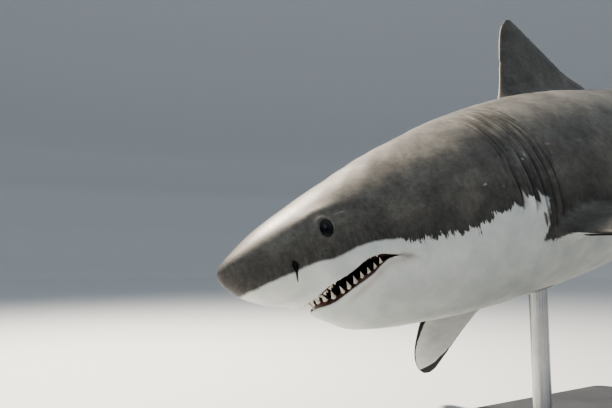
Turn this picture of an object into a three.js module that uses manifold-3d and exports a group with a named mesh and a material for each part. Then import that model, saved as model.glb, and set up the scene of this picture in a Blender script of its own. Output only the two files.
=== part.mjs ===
// A great white shark, life size, gliding nose down with its left side rolled up, on a display stand.
// Millimetres, +Z up. The snout points along -X and the shark's left side faces -Y.
// The origin is the centre of the stand base's underside.
// The shark is first laid out straight along +X, with its snout tip at zero, in percent of its length.
// Then it takes its swimming bend, is tilted and rolled, and goes up onto the stand.

import * as THREE from 'three';
import * as BufferGeometryUtils from 'three/addons/utils/BufferGeometryUtils.js';
import Module from 'manifold-3d';

const wasm = await Module();
wasm.setup();

// ---------- Driving dimensions ----------

const length = 4600;                  // snout tip to tail tip, along the straight shark
const percent = length / 100;         // layout unit
const gap = 0.3;                      // clearance between neighbouring pieces

const noseDown = THREE.MathUtils.degToRad(13.8);
const rollLeftUp = THREE.MathUtils.degToRad(17.5);
const bendStart = 38 * percent;       // the body is straight in front of this station
const bendRadius = 152 * percent;     // and curves to its left behind it
const snoutHeight = 720;              // snout tip above the floor
const snoutForward = 1790;            // snout tip ahead of the stand's centre
const snoutSideways = -30;            // snout tip to the right of the stand's centre line

const base = { long: 1900, wide: 1000, thick: 30, corner: 90, bevel: 5 };
const rod = { radius: 38, flangeRadius: 105, flangeThick: 14, stations: [31.5, 54] };

// Body sections in percent: station, back, belly, half width, height of the widest line
const sections = [
  [0, 0, 0, 0, 0],
  [0.5, 0.78, -1.05, 1.05, 0],
  [1.5, 1.4, -1.95, 1.95, 0],
  [3.5, 2.45, -3.0, 3.2, 0],
  [5, 3.05, -3.5, 3.85, 0],
  [6.5, 3.6, -4.8, 4.4, -0.05],
  [8, 4.15, -5.8, 4.8, -0.1],
  [10, 4.8, -6.6, 5.3, -0.2],
  [14, 6.1, -7.5, 6.3, -0.4],
  [20, 7.6, -8.4, 7.7, -0.5],
  [27, 8.9, -8.9, 8.3, -0.3],
  [36, 9.7, -9.2, 8.5, 0.2],
  [46, 9.2, -8.9, 7.7, 0.6],
  [56, 7.8, -7.6, 6.3, 0.9],
  [66, 5.4, -5.0, 4.2, 0.9],
  [75, 3.0, -2.6, 2.3, 0.6],
  [82, 1.9, -1.6, 1.3, 0.3],
  [86, 1.5, -1.4, 0.75, 0.1],
  [90, 0.9, -0.9, 0.3, 0],
];
const snoutTip = 0.02;
const bodyEnd = 90;
const rings = 34;
const around = 30;

// Where the body is parted across into its named lengths
const parts = { head: [-2, 20.6], gill_region: [20.6, 27.6], trunk: [27.6, 58], tail: [58, 76], tail_stalk: [76, 92] };

// Side view of the mouth: station, upper lip, lower lip. The corner closes the list.
const mouth = [
  [4, -4.3, -5.4],
  [5, -3.55, -4.75],
  [6, -3.05, -4.4],
  [7, -2.8, -4.15],
  [8, -2.6, -3.8],
  [9, -2.42, -3.4],
  [10, -2.42, -3.02],
  [11, -2.72, -2.9],
  [11.6, -3.05, -3.05],
];
const jawHinge = [13.6, -10];         // foot of the cut behind the lower jaw
const mouthHalfWidth = 9;

const tooth = { pitch: 0.83, shrink: 0.945, thick: 0.2, sink: 0.12 };
const upperTeeth = { count: 12, inset: 0.5, tall: 1.12, lip: 1 };
const lowerTeeth = { count: 10, inset: 0.95, tall: 1.15, lip: 2 };

const eye = { station: 6.6, angle: 8.5, radius: 0.74, proud: 0.19 };

// Gill slits, front to back: station, angles of the upper and lower ends
const gills = [[22.0, 20, -14], [23.3, 23, -17], [24.3, 25, -24], [25.2, 26, -28], [26.0, 26, -31]];
const gillCut = { wide: 0.2, deep: 0.3, lean: 0.3 };
const nostril = { station: 3.75, angles: [-18, -40], wide: 0.22, deep: 0.4 };

// ---------- Body shape ----------

// Monotone cubic through a table's rows: its value in one column at x
function smooth(table, x, column, measure = (v) => v) {
  const last = table.length - 1;
  const xs = table.map((row) => measure(row[0]));
  const ys = table.map((row) => row[column]);
  const t = Math.min(Math.max(measure(x), xs[0]), xs[last]);
  let i = 0;
  while (i < last - 1 && t > xs[i + 1]) i += 1;
  const rise = (k) => (ys[k + 1] - ys[k]) / (xs[k + 1] - xs[k]);
  const slope = (k) => {
    if (k === 0) return rise(0);
    if (k === last) return rise(last - 1);
    const product = rise(k - 1) * rise(k);
    return product <= 0 ? 0 : (2 * product) / (rise(k - 1) + rise(k));
  };
  const width = xs[i + 1] - xs[i];
  const u = (t - xs[i]) / width;
  return ys[i] * (1 + 2 * u) * (1 - u) ** 2
    + ys[i + 1] * u * u * (3 - 2 * u)
    + width * u * (1 - u) * (slope(i) * (1 - u) - slope(i + 1) * u);
}

// A side keel runs along each flank of the tail stalk
function keel(station) {
  const u = (station - 73.5) / 15.5;
  return u <= 0 || u >= 1 ? 0 : 1.35 * Math.sin(Math.PI * u ** 1.4) ** 1.2;
}

// A point of the straight body's surface, in percent. Angle 0 is the left side, 90 the back.
function bodyPoint(station, degrees, grow = 0) {
  const profile = (column) => smooth(sections, station, column, Math.sqrt);
  const angle = THREE.MathUtils.degToRad(degrees);
  const side = Math.cos(angle);
  const up = Math.sin(angle);
  const middle = profile(4);
  const reach = up > 0 ? profile(1) - middle : middle - profile(2);
  const squareness = up > 0 ? 2.15 - 0.25 * THREE.MathUtils.smoothstep(station, 20, 36) : 2.15;
  const bulge = (value) => Math.sign(value) * Math.abs(value) ** (2 / squareness);
  const ridge = keel(station) * Math.exp(-((up / 0.12) ** 2)) * Math.sign(side);
  return new THREE.Vector3(
    station,
    -(profile(3) + grow) * bulge(side) - ridge,
    middle + (reach + grow) * bulge(up),
  );
}

function bodyNormal(station, degrees) {
  const along = bodyPoint(station + 0.1, degrees).sub(bodyPoint(station - 0.1, degrees));
  const round = bodyPoint(station, degrees + 1).sub(bodyPoint(station, degrees - 1));
  return along.cross(round).normalize();
}

// ---------- From the straight layout to the shark's place ----------

const tilt = new THREE.Matrix4()
  .makeTranslation(-snoutForward, -snoutSideways, snoutHeight)
  .multiply(new THREE.Matrix4().makeRotationY(-noseDown))
  .multiply(new THREE.Matrix4().makeRotationX(-rollLeftUp));

function place(point) {
  const placed = point.clone().multiplyScalar(percent);
  const run = placed.x - bendStart;
  if (run > 0) {
    const turn = run / bendRadius;
    const reach = bendRadius + placed.y;
    placed.x = bendStart + reach * Math.sin(turn);
    placed.y = reach * Math.cos(turn) - bendRadius;
  }
  return placed.applyMatrix4(tilt);
}

// ---------- Solids ----------

function solidFrom(geometry) {
  const bare = geometry.clone();
  bare.deleteAttribute('normal');
  bare.deleteAttribute('uv');
  const merged = BufferGeometryUtils.mergeVertices(bare);
  return new wasm.Manifold(new wasm.Mesh({
    numProp: 3,
    vertProperties: new Float32Array(merged.attributes.position.array),
    triVerts: new Uint32Array(merged.index.array),
  }));
}

// A closed skin over rings of layout points, with a flat fan at each end, moved to its place
function loft(ringList) {
  const points = ringList.flat().map((point) => place(point));
  const count = ringList[0].length;
  const faces = [];
  for (let i = 0; i < ringList.length - 1; i += 1) {
    for (let j = 0; j < count; j += 1) {
      const next = (j + 1) % count;
      const here = i * count;
      const there = here + count;
      faces.push(here + j, here + next, there + next, here + j, there + next, there + j);
    }
  }
  const end = (ringList.length - 1) * count;
  for (let j = 1; j < count - 1; j += 1) {
    faces.push(0, j + 1, j, end, end + j, end + j + 1);
  }
  const geometry = new THREE.BufferGeometry();
  geometry.setAttribute('position', new THREE.Float32BufferAttribute(points.flatMap((p) => [p.x, p.y, p.z]), 3));
  geometry.setIndex(faces);
  return solidFrom(volume(points, faces) < 0 ? flipped(geometry) : geometry);
}

function volume(points, faces) {
  let sum = 0;
  for (let i = 0; i < faces.length; i += 3) {
    const [a, b, c] = [points[faces[i]], points[faces[i + 1]], points[faces[i + 2]]];
    sum += a.dot(b.clone().cross(c));
  }
  return sum;
}

function flipped(geometry) {
  const turned = geometry.clone();
  turned.setIndex(Array.from(geometry.index.array).reverse());
  return turned;
}

function joined(solids) {
  return solids.reduce((whole, solid) => whole.add(solid));
}

function bodySolid(grow = 0) {
  const ringList = [];
  for (let i = 0; i <= rings; i += 1) {
    const station = snoutTip + (bodyEnd - snoutTip) * (i / rings) ** 1.65;
    const end = i === 0 ? -grow : i === rings ? grow : 0;
    const ring = [];
    for (let j = 0; j < around; j += 1) {
      const point = bodyPoint(station, (360 * j) / around, grow);
      point.x += end;
      ring.push(point);
    }
    ringList.push(ring);
  }
  return loft(ringList);
}

// A wide block that fills the stations from one cut to the next
function block(from, to) {
  const half = 16;
  const corners = [[-half, -half], [half, -half], [half, half], [-half, half]];
  return loft([from, to].map((station) => corners.map(([y, z]) => new THREE.Vector3(station, y, z))));
}

// Everything under the mouth's upper or lower line, back to the cut behind the jaw
function underMouth(column, shift) {
  const half = mouthHalfWidth;
  const floor = -14;
  const ring = (station, top) => [
    new THREE.Vector3(station, -half, floor),
    new THREE.Vector3(station, half, floor),
    new THREE.Vector3(station, half, top),
    new THREE.Vector3(station, -half, top),
  ];
  const lip = mouth.map((row) => ring(row[0] + (row === mouth.at(-1) ? shift : 0), row[column]));
  return loft([...lip, ring(jawHinge[0] + shift, jawHinge[1])]);
}

// ---------- Teeth ----------

// The bite runs round the front of the mouth: station against distance from the middle
function biteStation(sideways) {
  return 5.0 + 0.088 * Math.abs(sideways) ** 2.5;
}

// Walks along the bite, set in behind the lip, and returns a place and a direction for each tooth
function biteWalk(inset, count) {
  const spots = [];
  const step = 0.01;
  let run = 0;
  let target = tooth.pitch / 2;
  let pitch = tooth.pitch;
  for (let sideways = 0; spots.length < count && sideways < 6; sideways += step) {
    const rise = (biteStation(sideways + step) - biteStation(sideways)) / step;
    const heading = new THREE.Vector2(rise, 1).normalize();
    run += step * Math.hypot(1, rise);
    if (run >= target) {
      const spot = new THREE.Vector2(biteStation(sideways) + inset * heading.y, sideways - inset * heading.x);
      spots.push({ spot, heading, size: pitch });
      target += pitch * (1 + tooth.shrink) / 2;
      pitch *= tooth.shrink;
    }
  }
  return spots;
}

function toothRow(row, upward, side) {
  return biteWalk(row.inset, row.count).map(({ spot, heading, size }) => {
    const half = (size * 0.94) / 2;
    const gum = smooth(mouth, spot.x, row.lip) - upward * tooth.sink;
    const tip = gum + upward * (size * row.tall * 0.9 + tooth.sink);
    const corner = (along, across, height) => new THREE.Vector3(
      spot.x + heading.x * along + heading.y * across,
      side * (spot.y + heading.y * along - heading.x * across),
      height,
    );
    const slice = (reach, thick, height) => [
      corner(-reach, 0, height),
      corner(0, -thick, height),
      corner(reach, 0, height),
      corner(0, thick, height),
    ];
    return loft([slice(half, tooth.thick * half, gum), slice(half * 0.06, 0.02, tip)]);
  });
}

// ---------- Fins ----------

// A fin's outline: distance out, leading edge, trailing edge, half thickness
function finSolid(outline, frame, rows = 10, chordSteps = 6) {
  const last = outline.at(-1)[0];
  const first = outline[0][0];
  const ringList = [];
  for (let i = 0; i <= rows; i += 1) {
    const out = first + (last - first) * Math.sin((Math.PI / 2) * (i / rows));
    const [lead, trail, thick] = [1, 2, 3].map((column) => smooth(outline, out, column));
    const ring = [];
    for (let j = -chordSteps; j <= chordSteps; j += 1) {
      const along = (j / chordSteps) ** 2;
      const swell = thick * 2.6 * Math.sqrt(along) * (1 - along) + 0.035 * along;
      const chord = lead + (trail - lead) * along;
      ring.push(frame.origin.clone()
        .addScaledVector(frame.out, out)
        .addScaledVector(frame.aft, chord)
        .addScaledVector(frame.thick, Math.sign(j) * swell));
    }
    ringList.push(ring);
  }
  return loft(ringList);
}

function finFrame(origin, out, aft) {
  const outward = new THREE.Vector3(...out).normalize();
  const aftward = new THREE.Vector3(...aft).normalize();
  return {
    origin: new THREE.Vector3(...origin),
    out: outward,
    aft: aftward,
    thick: new THREE.Vector3().crossVectors(outward, aftward),
  };
}

const firstDorsal = [
  [0, -2.2, 14.8, 0.75],
  [1.2, -0.7, 14.3, 0.64],
  [3.4, 1.0, 12.2, 0.52],
  [5.2, 2.2, 11.2, 0.44],
  [8.6, 4.4, 9.4, 0.33],
  [10.4, 5.9, 8.4, 0.22],
  [11.15, 7.0, 7.9, 0.1],
];
const secondDorsal = [
  [0, 0, 2.9, 0.2],
  [0.8, 0.5, 2.7, 0.15],
  [1.3, 1.0, 1.9, 0.1],
  [1.9, 1.45, 1.75, 0.05],
];
const pectoral = [
  [-2.4, 0.3, 7.0, 0.8],
  [0, 0, 7.6, 0.68],
  [2.4, -0.2, 7.7, 0.56],
  [5.4, -0.1, 6.7, 0.45],
  [9.2, 0.8, 6.5, 0.34],
  [13.2, 2.4, 6.6, 0.22],
  [16.2, 4.5, 6.7, 0.12],
  [17.2, 5.75, 6.4, 0.06],
];
const pelvic = [
  [-1.4, 0, 5.2, 0.4],
  [0, 0, 6.4, 0.32],
  [1.4, 0.7, 6.0, 0.25],
  [3.0, 2.4, 5.5, 0.16],
  [4.0, 3.9, 5.2, 0.08],
];
const upperLobe = [
  [0, -3.8, 7.4, 0.62],
  [2.2, -3.0, 7.6, 0.55],
  [4.6, 0.9, 8.5, 0.42],
  [8.5, 5.2, 10.3, 0.34],
  [12.5, 9.0, 12.6, 0.26],
  [15.0, 11.5, 14.3, 0.18],
  [15.8, 12.4, 14.9, 0.14],
  [16.4, 13.2, 15.9, 0.1],
  [17.5, 14.9, 15.4, 0.05],
];
const lowerLobe = [
  [0, -2.2, 7.3, 0.62],
  [1.8, -1.0, 7.6, 0.5],
  [4.2, 1.9, 8.5, 0.38],
  [8.0, 5.9, 10.2, 0.28],
  [11.6, 9.2, 11.8, 0.16],
  [13.0, 11.0, 11.6, 0.06],
];
const lobeStation = 84.4;
const backward = [1, 0, 0];

// side is 1 for the left fin and -1 for the right one. The shark steers with them, so they differ.
function pectoralFrame(side) {
  const droop = THREE.MathUtils.degToRad(side > 0 ? 20 : 25);
  const twist = THREE.MathUtils.degToRad(side > 0 ? 6 : -15);
  const out = [0, -side * Math.cos(droop), -Math.sin(droop)];
  const aft = [Math.cos(twist), -side * Math.sin(twist) * Math.sin(droop), Math.sin(twist) * Math.cos(droop)];
  return finFrame([25.2, -side * 7.1, -5.4], out, aft);
}

function lobeFrame(up) {
  return finFrame([lobeStation, 0, (up * gap) / percent / 2], [0, 0, up], backward);
}

function pelvicFrame(side) {
  const droop = THREE.MathUtils.degToRad(38);
  return finFrame([56.6, -side * 3.9, -5.5], [0, -side * Math.cos(droop), -Math.sin(droop)], [1, 0, -0.16]);
}

// ---------- Openings in the skin ----------

// A shallow wedge cut into the body along a line of stations and angles
function slit(line, wide, deep) {
  return loft(line.map(([station, degrees]) => {
    const normal = bodyNormal(station, degrees);
    const middle = bodyPoint(station, degrees);
    const lift = (reach, shift) => middle.clone().addScaledVector(normal, reach).add(new THREE.Vector3(shift, 0, 0));
    return [lift(0.3, -wide), lift(0.3, wide), lift(-deep, -deep)];
  }));
}

function mirroredAngle(degrees, side) {
  return side > 0 ? degrees : 180 - degrees;
}

function gillSlits(side) {
  return joined(gills.map(([station, top, bottom]) => {
    const line = [0, 0.25, 0.5, 0.75, 1].map((u) => [
      station + gillCut.lean * Math.cos(Math.PI * u),
      mirroredAngle(top + (bottom - top) * u, side),
    ]);
    return slit(line, gillCut.wide, gillCut.deep);
  }));
}

function nostrilSlit(side) {
  const [top, bottom] = nostril.angles;
  const line = [0, 0.5, 1].map((u) => [
    nostril.station + 0.35 * u,
    mirroredAngle(top + (bottom - top) * u, side),
  ]);
  return slit(line, nostril.wide, nostril.deep);
}

function eyeSolid(side, grow = 0) {
  const degrees = mirroredAngle(eye.angle, side);
  const centre = bodyPoint(eye.station, degrees)
    .addScaledVector(bodyNormal(eye.station, degrees), eye.proud - eye.radius);
  const ball = new THREE.SphereGeometry(eye.radius * percent + grow, 16, 11);
  ball.translate(...place(centre).toArray());
  return solidFrom(ball);
}

// ---------- Stand ----------

function baseSolid() {
  const { long, wide, thick, corner, bevel } = base;
  const outline = new THREE.Shape();
  const x = long / 2 - bevel;
  const y = wide / 2 - bevel;
  outline.moveTo(-x + corner, -y);
  outline.lineTo(x - corner, -y);
  outline.absarc(x - corner, -y + corner, corner, -Math.PI / 2, 0);
  outline.lineTo(x, y - corner);
  outline.absarc(x - corner, y - corner, corner, 0, Math.PI / 2);
  outline.lineTo(-x + corner, y);
  outline.absarc(-x + corner, y - corner, corner, Math.PI / 2, Math.PI);
  outline.lineTo(-x, -y + corner);
  outline.absarc(-x + corner, -y + corner, corner, Math.PI, 1.5 * Math.PI);
  const plate = new THREE.ExtrudeGeometry(outline, {
    depth: thick - 2 * bevel,
    bevelSize: bevel,
    bevelThickness: bevel,
    bevelSegments: 1,
    curveSegments: 5,
  });
  plate.translate(0, 0, bevel);
  return solidFrom(plate);
}

function cylinder(radius, tall, foot, segments = 24) {
  const geometry = new THREE.CylinderGeometry(radius, radius, tall, segments);
  geometry.rotateX(Math.PI / 2);
  geometry.translate(foot.x, foot.y, foot.z + tall / 2);
  return solidFrom(geometry);
}

// The rod stands upright under the belly line and is cut to the belly's curve
function rodPieces(station, grownBody) {
  const belly = place(bodyPoint(station, -90));
  const axis = place(new THREE.Vector3(station, 0, 0));
  const foot = new THREE.Vector3((belly.x + axis.x) / 2, (belly.y + axis.y) / 2, base.thick + gap);
  const flange = cylinder(rod.flangeRadius, rod.flangeThick, foot);
  const shaftFoot = foot.clone().setZ(foot.z + rod.flangeThick + gap);
  const shaft = cylinder(rod.radius, axis.z - shaftFoot.z, shaftFoot).subtract(grownBody);
  return { flange, shaft };
}

// ---------- Materials ----------

function material(color, roughness, metalness = 0) {
  return new THREE.MeshStandardMaterial({ color, roughness, metalness });
}

const skin = () => material('#5f6468', 0.45);
const paleSkin = () => material('#c9cdcc', 0.45);
const eyeball = () => material('#0b0c0e', 0.12);
const paint = () => material('#33373b', 0.4);
const steel = () => material('#b9bcbf', 0.3, 1);

const model = new THREE.Group();

function addPiece(name, solid, look) {
  const { vertProperties, triVerts, numProp } = solid.getMesh();
  const geometry = new THREE.BufferGeometry();
  const positions = [];
  for (let i = 0; i < vertProperties.length; i += numProp) {
    positions.push(vertProperties[i], vertProperties[i + 1], vertProperties[i + 2]);
  }
  geometry.setAttribute('position', new THREE.Float32BufferAttribute(positions, 3));
  geometry.setIndex(Array.from(triVerts));
  geometry.computeVertexNormals();
  const mesh = new THREE.Mesh(geometry, look);
  mesh.name = name;
  model.add(mesh);
}

// ---------- Assembly ----------

const body = bodySolid();
const grownBody = bodySolid(gap / percent);

function bodyPart(name) {
  const [from, to] = parts[name];
  const half = gap / percent / 2;
  return body.intersect(block(from + half, to - half));
}

// The head is parted into skull and lower jaw by the open mouth
const wholeHead = bodyPart('head');
const sides = { left: 1, right: -1 };
const upperRow = joined(Object.values(sides).flatMap((side) => toothRow(upperTeeth, -1, side)));
const lowerRow = joined(Object.values(sides).flatMap((side) => toothRow(lowerTeeth, 1, side)));
let head = wholeHead.subtract(underMouth(1, gap / percent)).add(upperRow);
for (const [name, side] of Object.entries(sides)) {
  head = head.subtract(eyeSolid(side, gap)).subtract(nostrilSlit(side));
  addPiece(`eye_${name}`, eyeSolid(side), eyeball());
}
addPiece('head', head, skin());
addPiece('lower_jaw', wholeHead.intersect(underMouth(2, 0)).add(lowerRow), paleSkin());
addPiece('gill_region', bodyPart('gill_region').subtract(gillSlits(1)).subtract(gillSlits(-1)), skin());
for (const name of ['trunk', 'tail', 'tail_stalk']) {
  addPiece(name, bodyPart(name), skin());
}

addPiece('first_dorsal_fin', finSolid(firstDorsal, finFrame([36.2, 0, 8.6], [0, 0, 1], backward), 9, 5)
  .subtract(grownBody), skin());
addPiece('second_dorsal_fin', finSolid(secondDorsal, finFrame([72.2, 0, 3.2], [0, 0, 1], backward), 6, 4)
  .subtract(grownBody), skin());
addPiece('anal_fin', finSolid(secondDorsal, finFrame([74.6, 0, -2.3], [0, 0, -1], backward), 6, 4)
  .subtract(grownBody), skin());
for (const [name, side] of Object.entries(sides)) {
  addPiece(`pectoral_fin_${name}`, finSolid(pectoral, pectoralFrame(side), 9, 5).subtract(grownBody), skin());
  addPiece(`pelvic_fin_${name}`, finSolid(pelvic, pelvicFrame(side), 6, 4).subtract(grownBody), skin());
}
addPiece('tail_fin_upper_lobe', finSolid(upperLobe, lobeFrame(1), 11, 5)
  .subtract(grownBody), skin());
addPiece('tail_fin_lower_lobe', finSolid(lowerLobe, lobeFrame(-1), 9, 5)
  .subtract(grownBody), skin());

addPiece('stand_base', baseSolid(), paint());
['front', 'rear'].forEach((name, i) => {
  const { flange, shaft } = rodPieces(rod.stations[i], grownBody);
  addPiece(`stand_flange_${name}`, flange, steel());
  addPiece(`stand_rod_${name}`, shaft, steel());
});

export default model;
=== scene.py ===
import math

import bpy
import numpy as np
from mathutils import Matrix, Vector, kdtree
from mathutils.bvhtree import BVHTree


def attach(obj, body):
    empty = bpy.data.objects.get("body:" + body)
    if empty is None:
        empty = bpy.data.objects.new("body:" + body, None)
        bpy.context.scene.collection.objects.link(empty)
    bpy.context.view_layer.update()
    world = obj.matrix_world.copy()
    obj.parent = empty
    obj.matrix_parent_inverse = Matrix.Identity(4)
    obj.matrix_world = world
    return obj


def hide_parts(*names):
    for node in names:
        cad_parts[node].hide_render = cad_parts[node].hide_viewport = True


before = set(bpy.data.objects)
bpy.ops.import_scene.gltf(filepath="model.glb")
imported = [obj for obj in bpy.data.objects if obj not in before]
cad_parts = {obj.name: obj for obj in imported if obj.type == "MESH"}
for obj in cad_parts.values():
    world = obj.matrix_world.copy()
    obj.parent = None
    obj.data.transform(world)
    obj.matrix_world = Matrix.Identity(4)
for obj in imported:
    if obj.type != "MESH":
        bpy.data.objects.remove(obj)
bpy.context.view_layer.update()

# ---------- Camera ----------
# It stands low, off the shark's left bow, and looks a little upward at the open mouth. The rear
# half of the shark lies outside its view.

bpy.ops.object.select_all(action="DESELECT")
bpy.ops.object.camera_add(location=(-2.5187, -1.6406, 0.7556))
camera = bpy.context.object
line_of_sight = Vector((0.5283, 0.8426, 0.1045))
camera.rotation_euler = line_of_sight.to_track_quat("-Z", "Y").to_euler()
camera.data.sensor_width = 36
camera.data.lens = 34.19
bpy.context.scene.camera = camera

# ---------- Skin: the body ----------
# A shark's hide is one unbroken skin over head, body and fins. The museum skin is cast fibreglass,
# laid up from a mould of the animal. It is shaped straight here, in percent of the shark's length
# from the snout tip, and takes its swimming bend once all of it is joined.

percent = 0.046
mm = 0.001 / percent

sections = [
    # station, back, belly, half width, height of the widest line
    (0, 0, 0, 0, 0),
    (0.5, 0.78, -1.05, 1.05, 0),
    (1.5, 1.4, -1.95, 1.95, 0),
    (3.5, 2.45, -3.0, 3.2, 0),
    (5, 3.05, -3.5, 3.85, 0),
    (6.5, 3.6, -4.8, 4.4, -0.05),
    (8, 4.15, -5.8, 4.8, -0.1),
    (10, 4.8, -6.6, 5.3, -0.2),
    (14, 6.1, -7.5, 6.3, -0.4),
    (20, 7.6, -8.4, 7.7, -0.5),
    (27, 8.9, -8.9, 8.3, -0.3),
    (36, 9.7, -9.2, 8.5, 0.2),
    (46, 9.2, -8.9, 7.7, 0.6),
    (56, 7.8, -7.6, 6.3, 0.9),
    (66, 5.4, -5.0, 4.2, 0.9),
    (75, 3.0, -2.6, 2.3, 0.6),
    (82, 1.9, -1.6, 1.3, 0.3),
    (86, 1.5, -1.4, 0.75, 0.1),
    (90, 0.9, -0.9, 0.3, 0),
]


def as_is(values):
    return np.asarray(values, float)


def root(values):
    return np.sqrt(np.maximum(values, 0))


def through(rows, x, column=1, measure=as_is):
    """A smooth line through a table's rows, without overshoot: its value in one column at each x."""
    rows = np.array(rows, float)
    xs = measure(rows[:, 0])
    ys = rows[:, column]
    rise = np.diff(ys) / np.diff(xs)
    product = rise[:-1] * rise[1:]
    total = np.where(product > 0, rise[:-1] + rise[1:], 1)
    slope = np.concatenate([rise[:1], np.where(product > 0, 2 * product / total, 0), rise[-1:]])
    t = np.clip(measure(x), xs[0], xs[-1])
    i = np.clip(np.searchsorted(xs, t, side="right") - 1, 0, len(xs) - 2)
    width = xs[i + 1] - xs[i]
    u = (t - xs[i]) / width
    flat = ys[i] * (1 + 2 * u) * (1 - u) ** 2 + ys[i + 1] * u * u * (3 - 2 * u)
    return flat + width * u * (1 - u) * (slope[i] * (1 - u) - slope[i + 1] * u)


def ease(low, high, value):
    """0 below low, 1 above high, and a smooth ramp between."""
    t = np.clip((value - low) / (high - low), 0, 1)
    return t * t * (3 - 2 * t)


def hump(value, centre, width):
    return np.exp(-(((value - centre) / width) ** 2))


def body_point(station, degrees):
    """Points of the straight body. Angle 0 is the left side, 90 the back and 180 the right side."""
    station, degrees = np.broadcast_arrays(as_is(station), as_is(degrees))
    side = np.cos(np.radians(degrees))
    up = np.sin(np.radians(degrees))
    middle = through(sections, station, 4, root)
    back = through(sections, station, 1, root)
    belly = through(sections, station, 2, root)
    half = through(sections, station, 3, root)
    reach = np.where(up > 0, back - middle, middle - belly)
    squareness = 2.15 - 0.25 * ease(20, 36, station) * (up > 0)
    u = np.clip((station - 73.5) / 15.5, 0, 1)
    keel = 1.35 * np.sin(np.pi * u**1.4) ** 1.2 * np.exp(-((up / 0.12) ** 2))
    bulge_side = np.sign(side) * np.abs(side) ** (2 / squareness)
    bulge_up = np.sign(up) * np.abs(up) ** (2 / squareness)
    return np.stack([station, -half * bulge_side - keel * np.sign(side), middle + reach * bulge_up], -1)


def body_normal(station, degrees):
    along = body_point(station + 0.02, degrees) - body_point(np.maximum(station - 0.02, 0), degrees)
    girth = body_point(station, degrees + 0.5) - body_point(station, degrees - 0.5)
    normal = np.cross(along, girth)
    return normal / np.maximum(np.linalg.norm(normal, axis=-1, keepdims=True), 1e-9)


# Gill slits, front to back: station, then the angles of the upper and lower ends
gills = [(22.0, 20, -14), (23.3, 23, -17), (24.3, 25, -24), (25.2, 26, -28), (26.0, 26, -31)]

# Across a slit, in millimetres: place, backward slide, rise, painted shade. The flap in front laps over.
gill_profile = [
    (-24, 0, 0, 0),
    (-18, 0, 0.9, 0),
    (-12, 0.2, 2.6, 0),
    (-8, 0.8, 4.4, 0),
    (-5, 1.8, 5.8, 0),
    (-3, 3.0, 6.2, 0),
    (-1.2, 4.4, 5.2, 0.3),
    (0, 4.9, 2.6, 0.8),
    (1.2, 3.4, -2.4, 1),
    (2.6, 0.8, -9, 1),
    (4.5, -0.8, -15, 1),
    (7, 0, -13, 1),
    (11, 0.6, -6.5, 0.85),
    (16, 0, -2.4, 0.45),
    (22, 0, -0.5, 0.15),
    (28, 0, 0, 0),
]

rings_by_slit = (-15, -10.5, -7, -4.6, -2.8, -1.2, 0, 1.2, 2.8, 5, 8, 11.5, 15)
gill_rings = [slit + millimetres * mm for slit, _, _ in gills for millimetres in rings_by_slit]
stations = np.concatenate([
    0.02 + 3.0 * np.linspace(0, 1, 30) ** 1.9,
    np.arange(3.13, 12.6, 0.115),
    np.arange(12.65, 20.6, 0.24),
    np.arange(20.7, 21.6, 0.16),
    np.unique(np.round(gill_rings, 4)),
    np.arange(26.45, 27.6, 0.19),
    np.arange(27.8, 58, 0.44),
    np.arange(58.2, 80, 0.58),
    np.arange(80.2, 90.01, 0.4),
])
around = 188
turn = np.linspace(0, 2 * np.pi, around, endpoint=False)
angles = np.degrees(turn - 0.175 * np.sin(2 * turn))

# Every point has its station S and its angle A. Its flank angle is the same on both sides: -90 at
# the belly, 0 on the side and 90 on the back.
S, A = np.meshgrid(stations, angles, indexing="ij")
flank = np.degrees(np.arcsin(np.sin(np.radians(A))))

# The rings lean with the slits, so that each slit runs along a ring
slit_top = np.interp(S, [g[0] for g in gills], [g[1] for g in gills])
slit_foot = np.interp(S, [g[0] for g in gills], [g[2] for g in gills])
down = np.clip((slit_top - flank) / (slit_top - slit_foot), 0, 1)
lean = 0.3 * np.cos(np.pi * down) * ease(20.7, 21.6, S) * (1 - ease(26.4, 27.5, S))

# What the relief does at each point: rise outward and slide backward, in millimetres, and the
# painted shade laid into its slits and creases, from 0 to 1
rise = np.zeros_like(S)
slide = np.zeros_like(S)
deep = np.zeros_like(S)
profile = np.array(gill_profile).T
for number, (station, top, foot) in enumerate(gills):
    offset = (S - station) / mm
    opening = ease(foot - 2, foot + 4, flank) * (1 - ease(top - 12, top + 2, flank))
    crease = ease(top - 14, top, flank) * (1 - ease(44, 66 - 2 * number, flank)) * 0.7
    wider = 0.75 + 0.45 * (1 - ease(foot + 4, top - 4, flank))
    rise += np.interp(offset, profile[0], profile[2]) * (opening * wider + crease)
    slide += np.interp(offset, profile[0], profile[1]) * opening
    deep = np.maximum(deep, np.interp(offset, profile[0], profile[3]) * np.maximum(opening, crease * 0.9))

# Fine pleats run on over the shoulder, between and behind the slits
pleats = ease(20.9, 22.2, S) * (1 - ease(26.4, 28.2, S)) * ease(-16, 8, flank) * (1 - ease(48, 70, flank))
wide_pleats = np.sin((S + 0.01 * flank) * 2 * np.pi / 0.47)
rise += pleats * (1.5 * np.sin((S - 0.012 * flank) * 2 * np.pi / 0.31) + 1.1 * wide_pleats)

# The mouth's edges
mouth = [
    # station, upper lip, lower lip
    (4, -3.6, -4.0),
    (5.2, -3.6, -4.06),
    (5.5, -3.56, -4.08),
    (5.8, -3.34, -4.1),
    (6.05, -3.2, -4.12),
    (6.4, -3.1, -4.2),
    (6.7, -3.04, -4.21),
    (7.2, -2.94, -4.06),
    (7.8, -2.76, -3.8),
    (8.4, -2.5, -3.62),
    (9, -2.37, -3.4),
    (9.6, -2.38, -3.06),
    (10.3, -2.56, -2.82),
    (10.8, -2.74, -2.84),
    (11.1, -2.86, -2.9),
]

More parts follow.
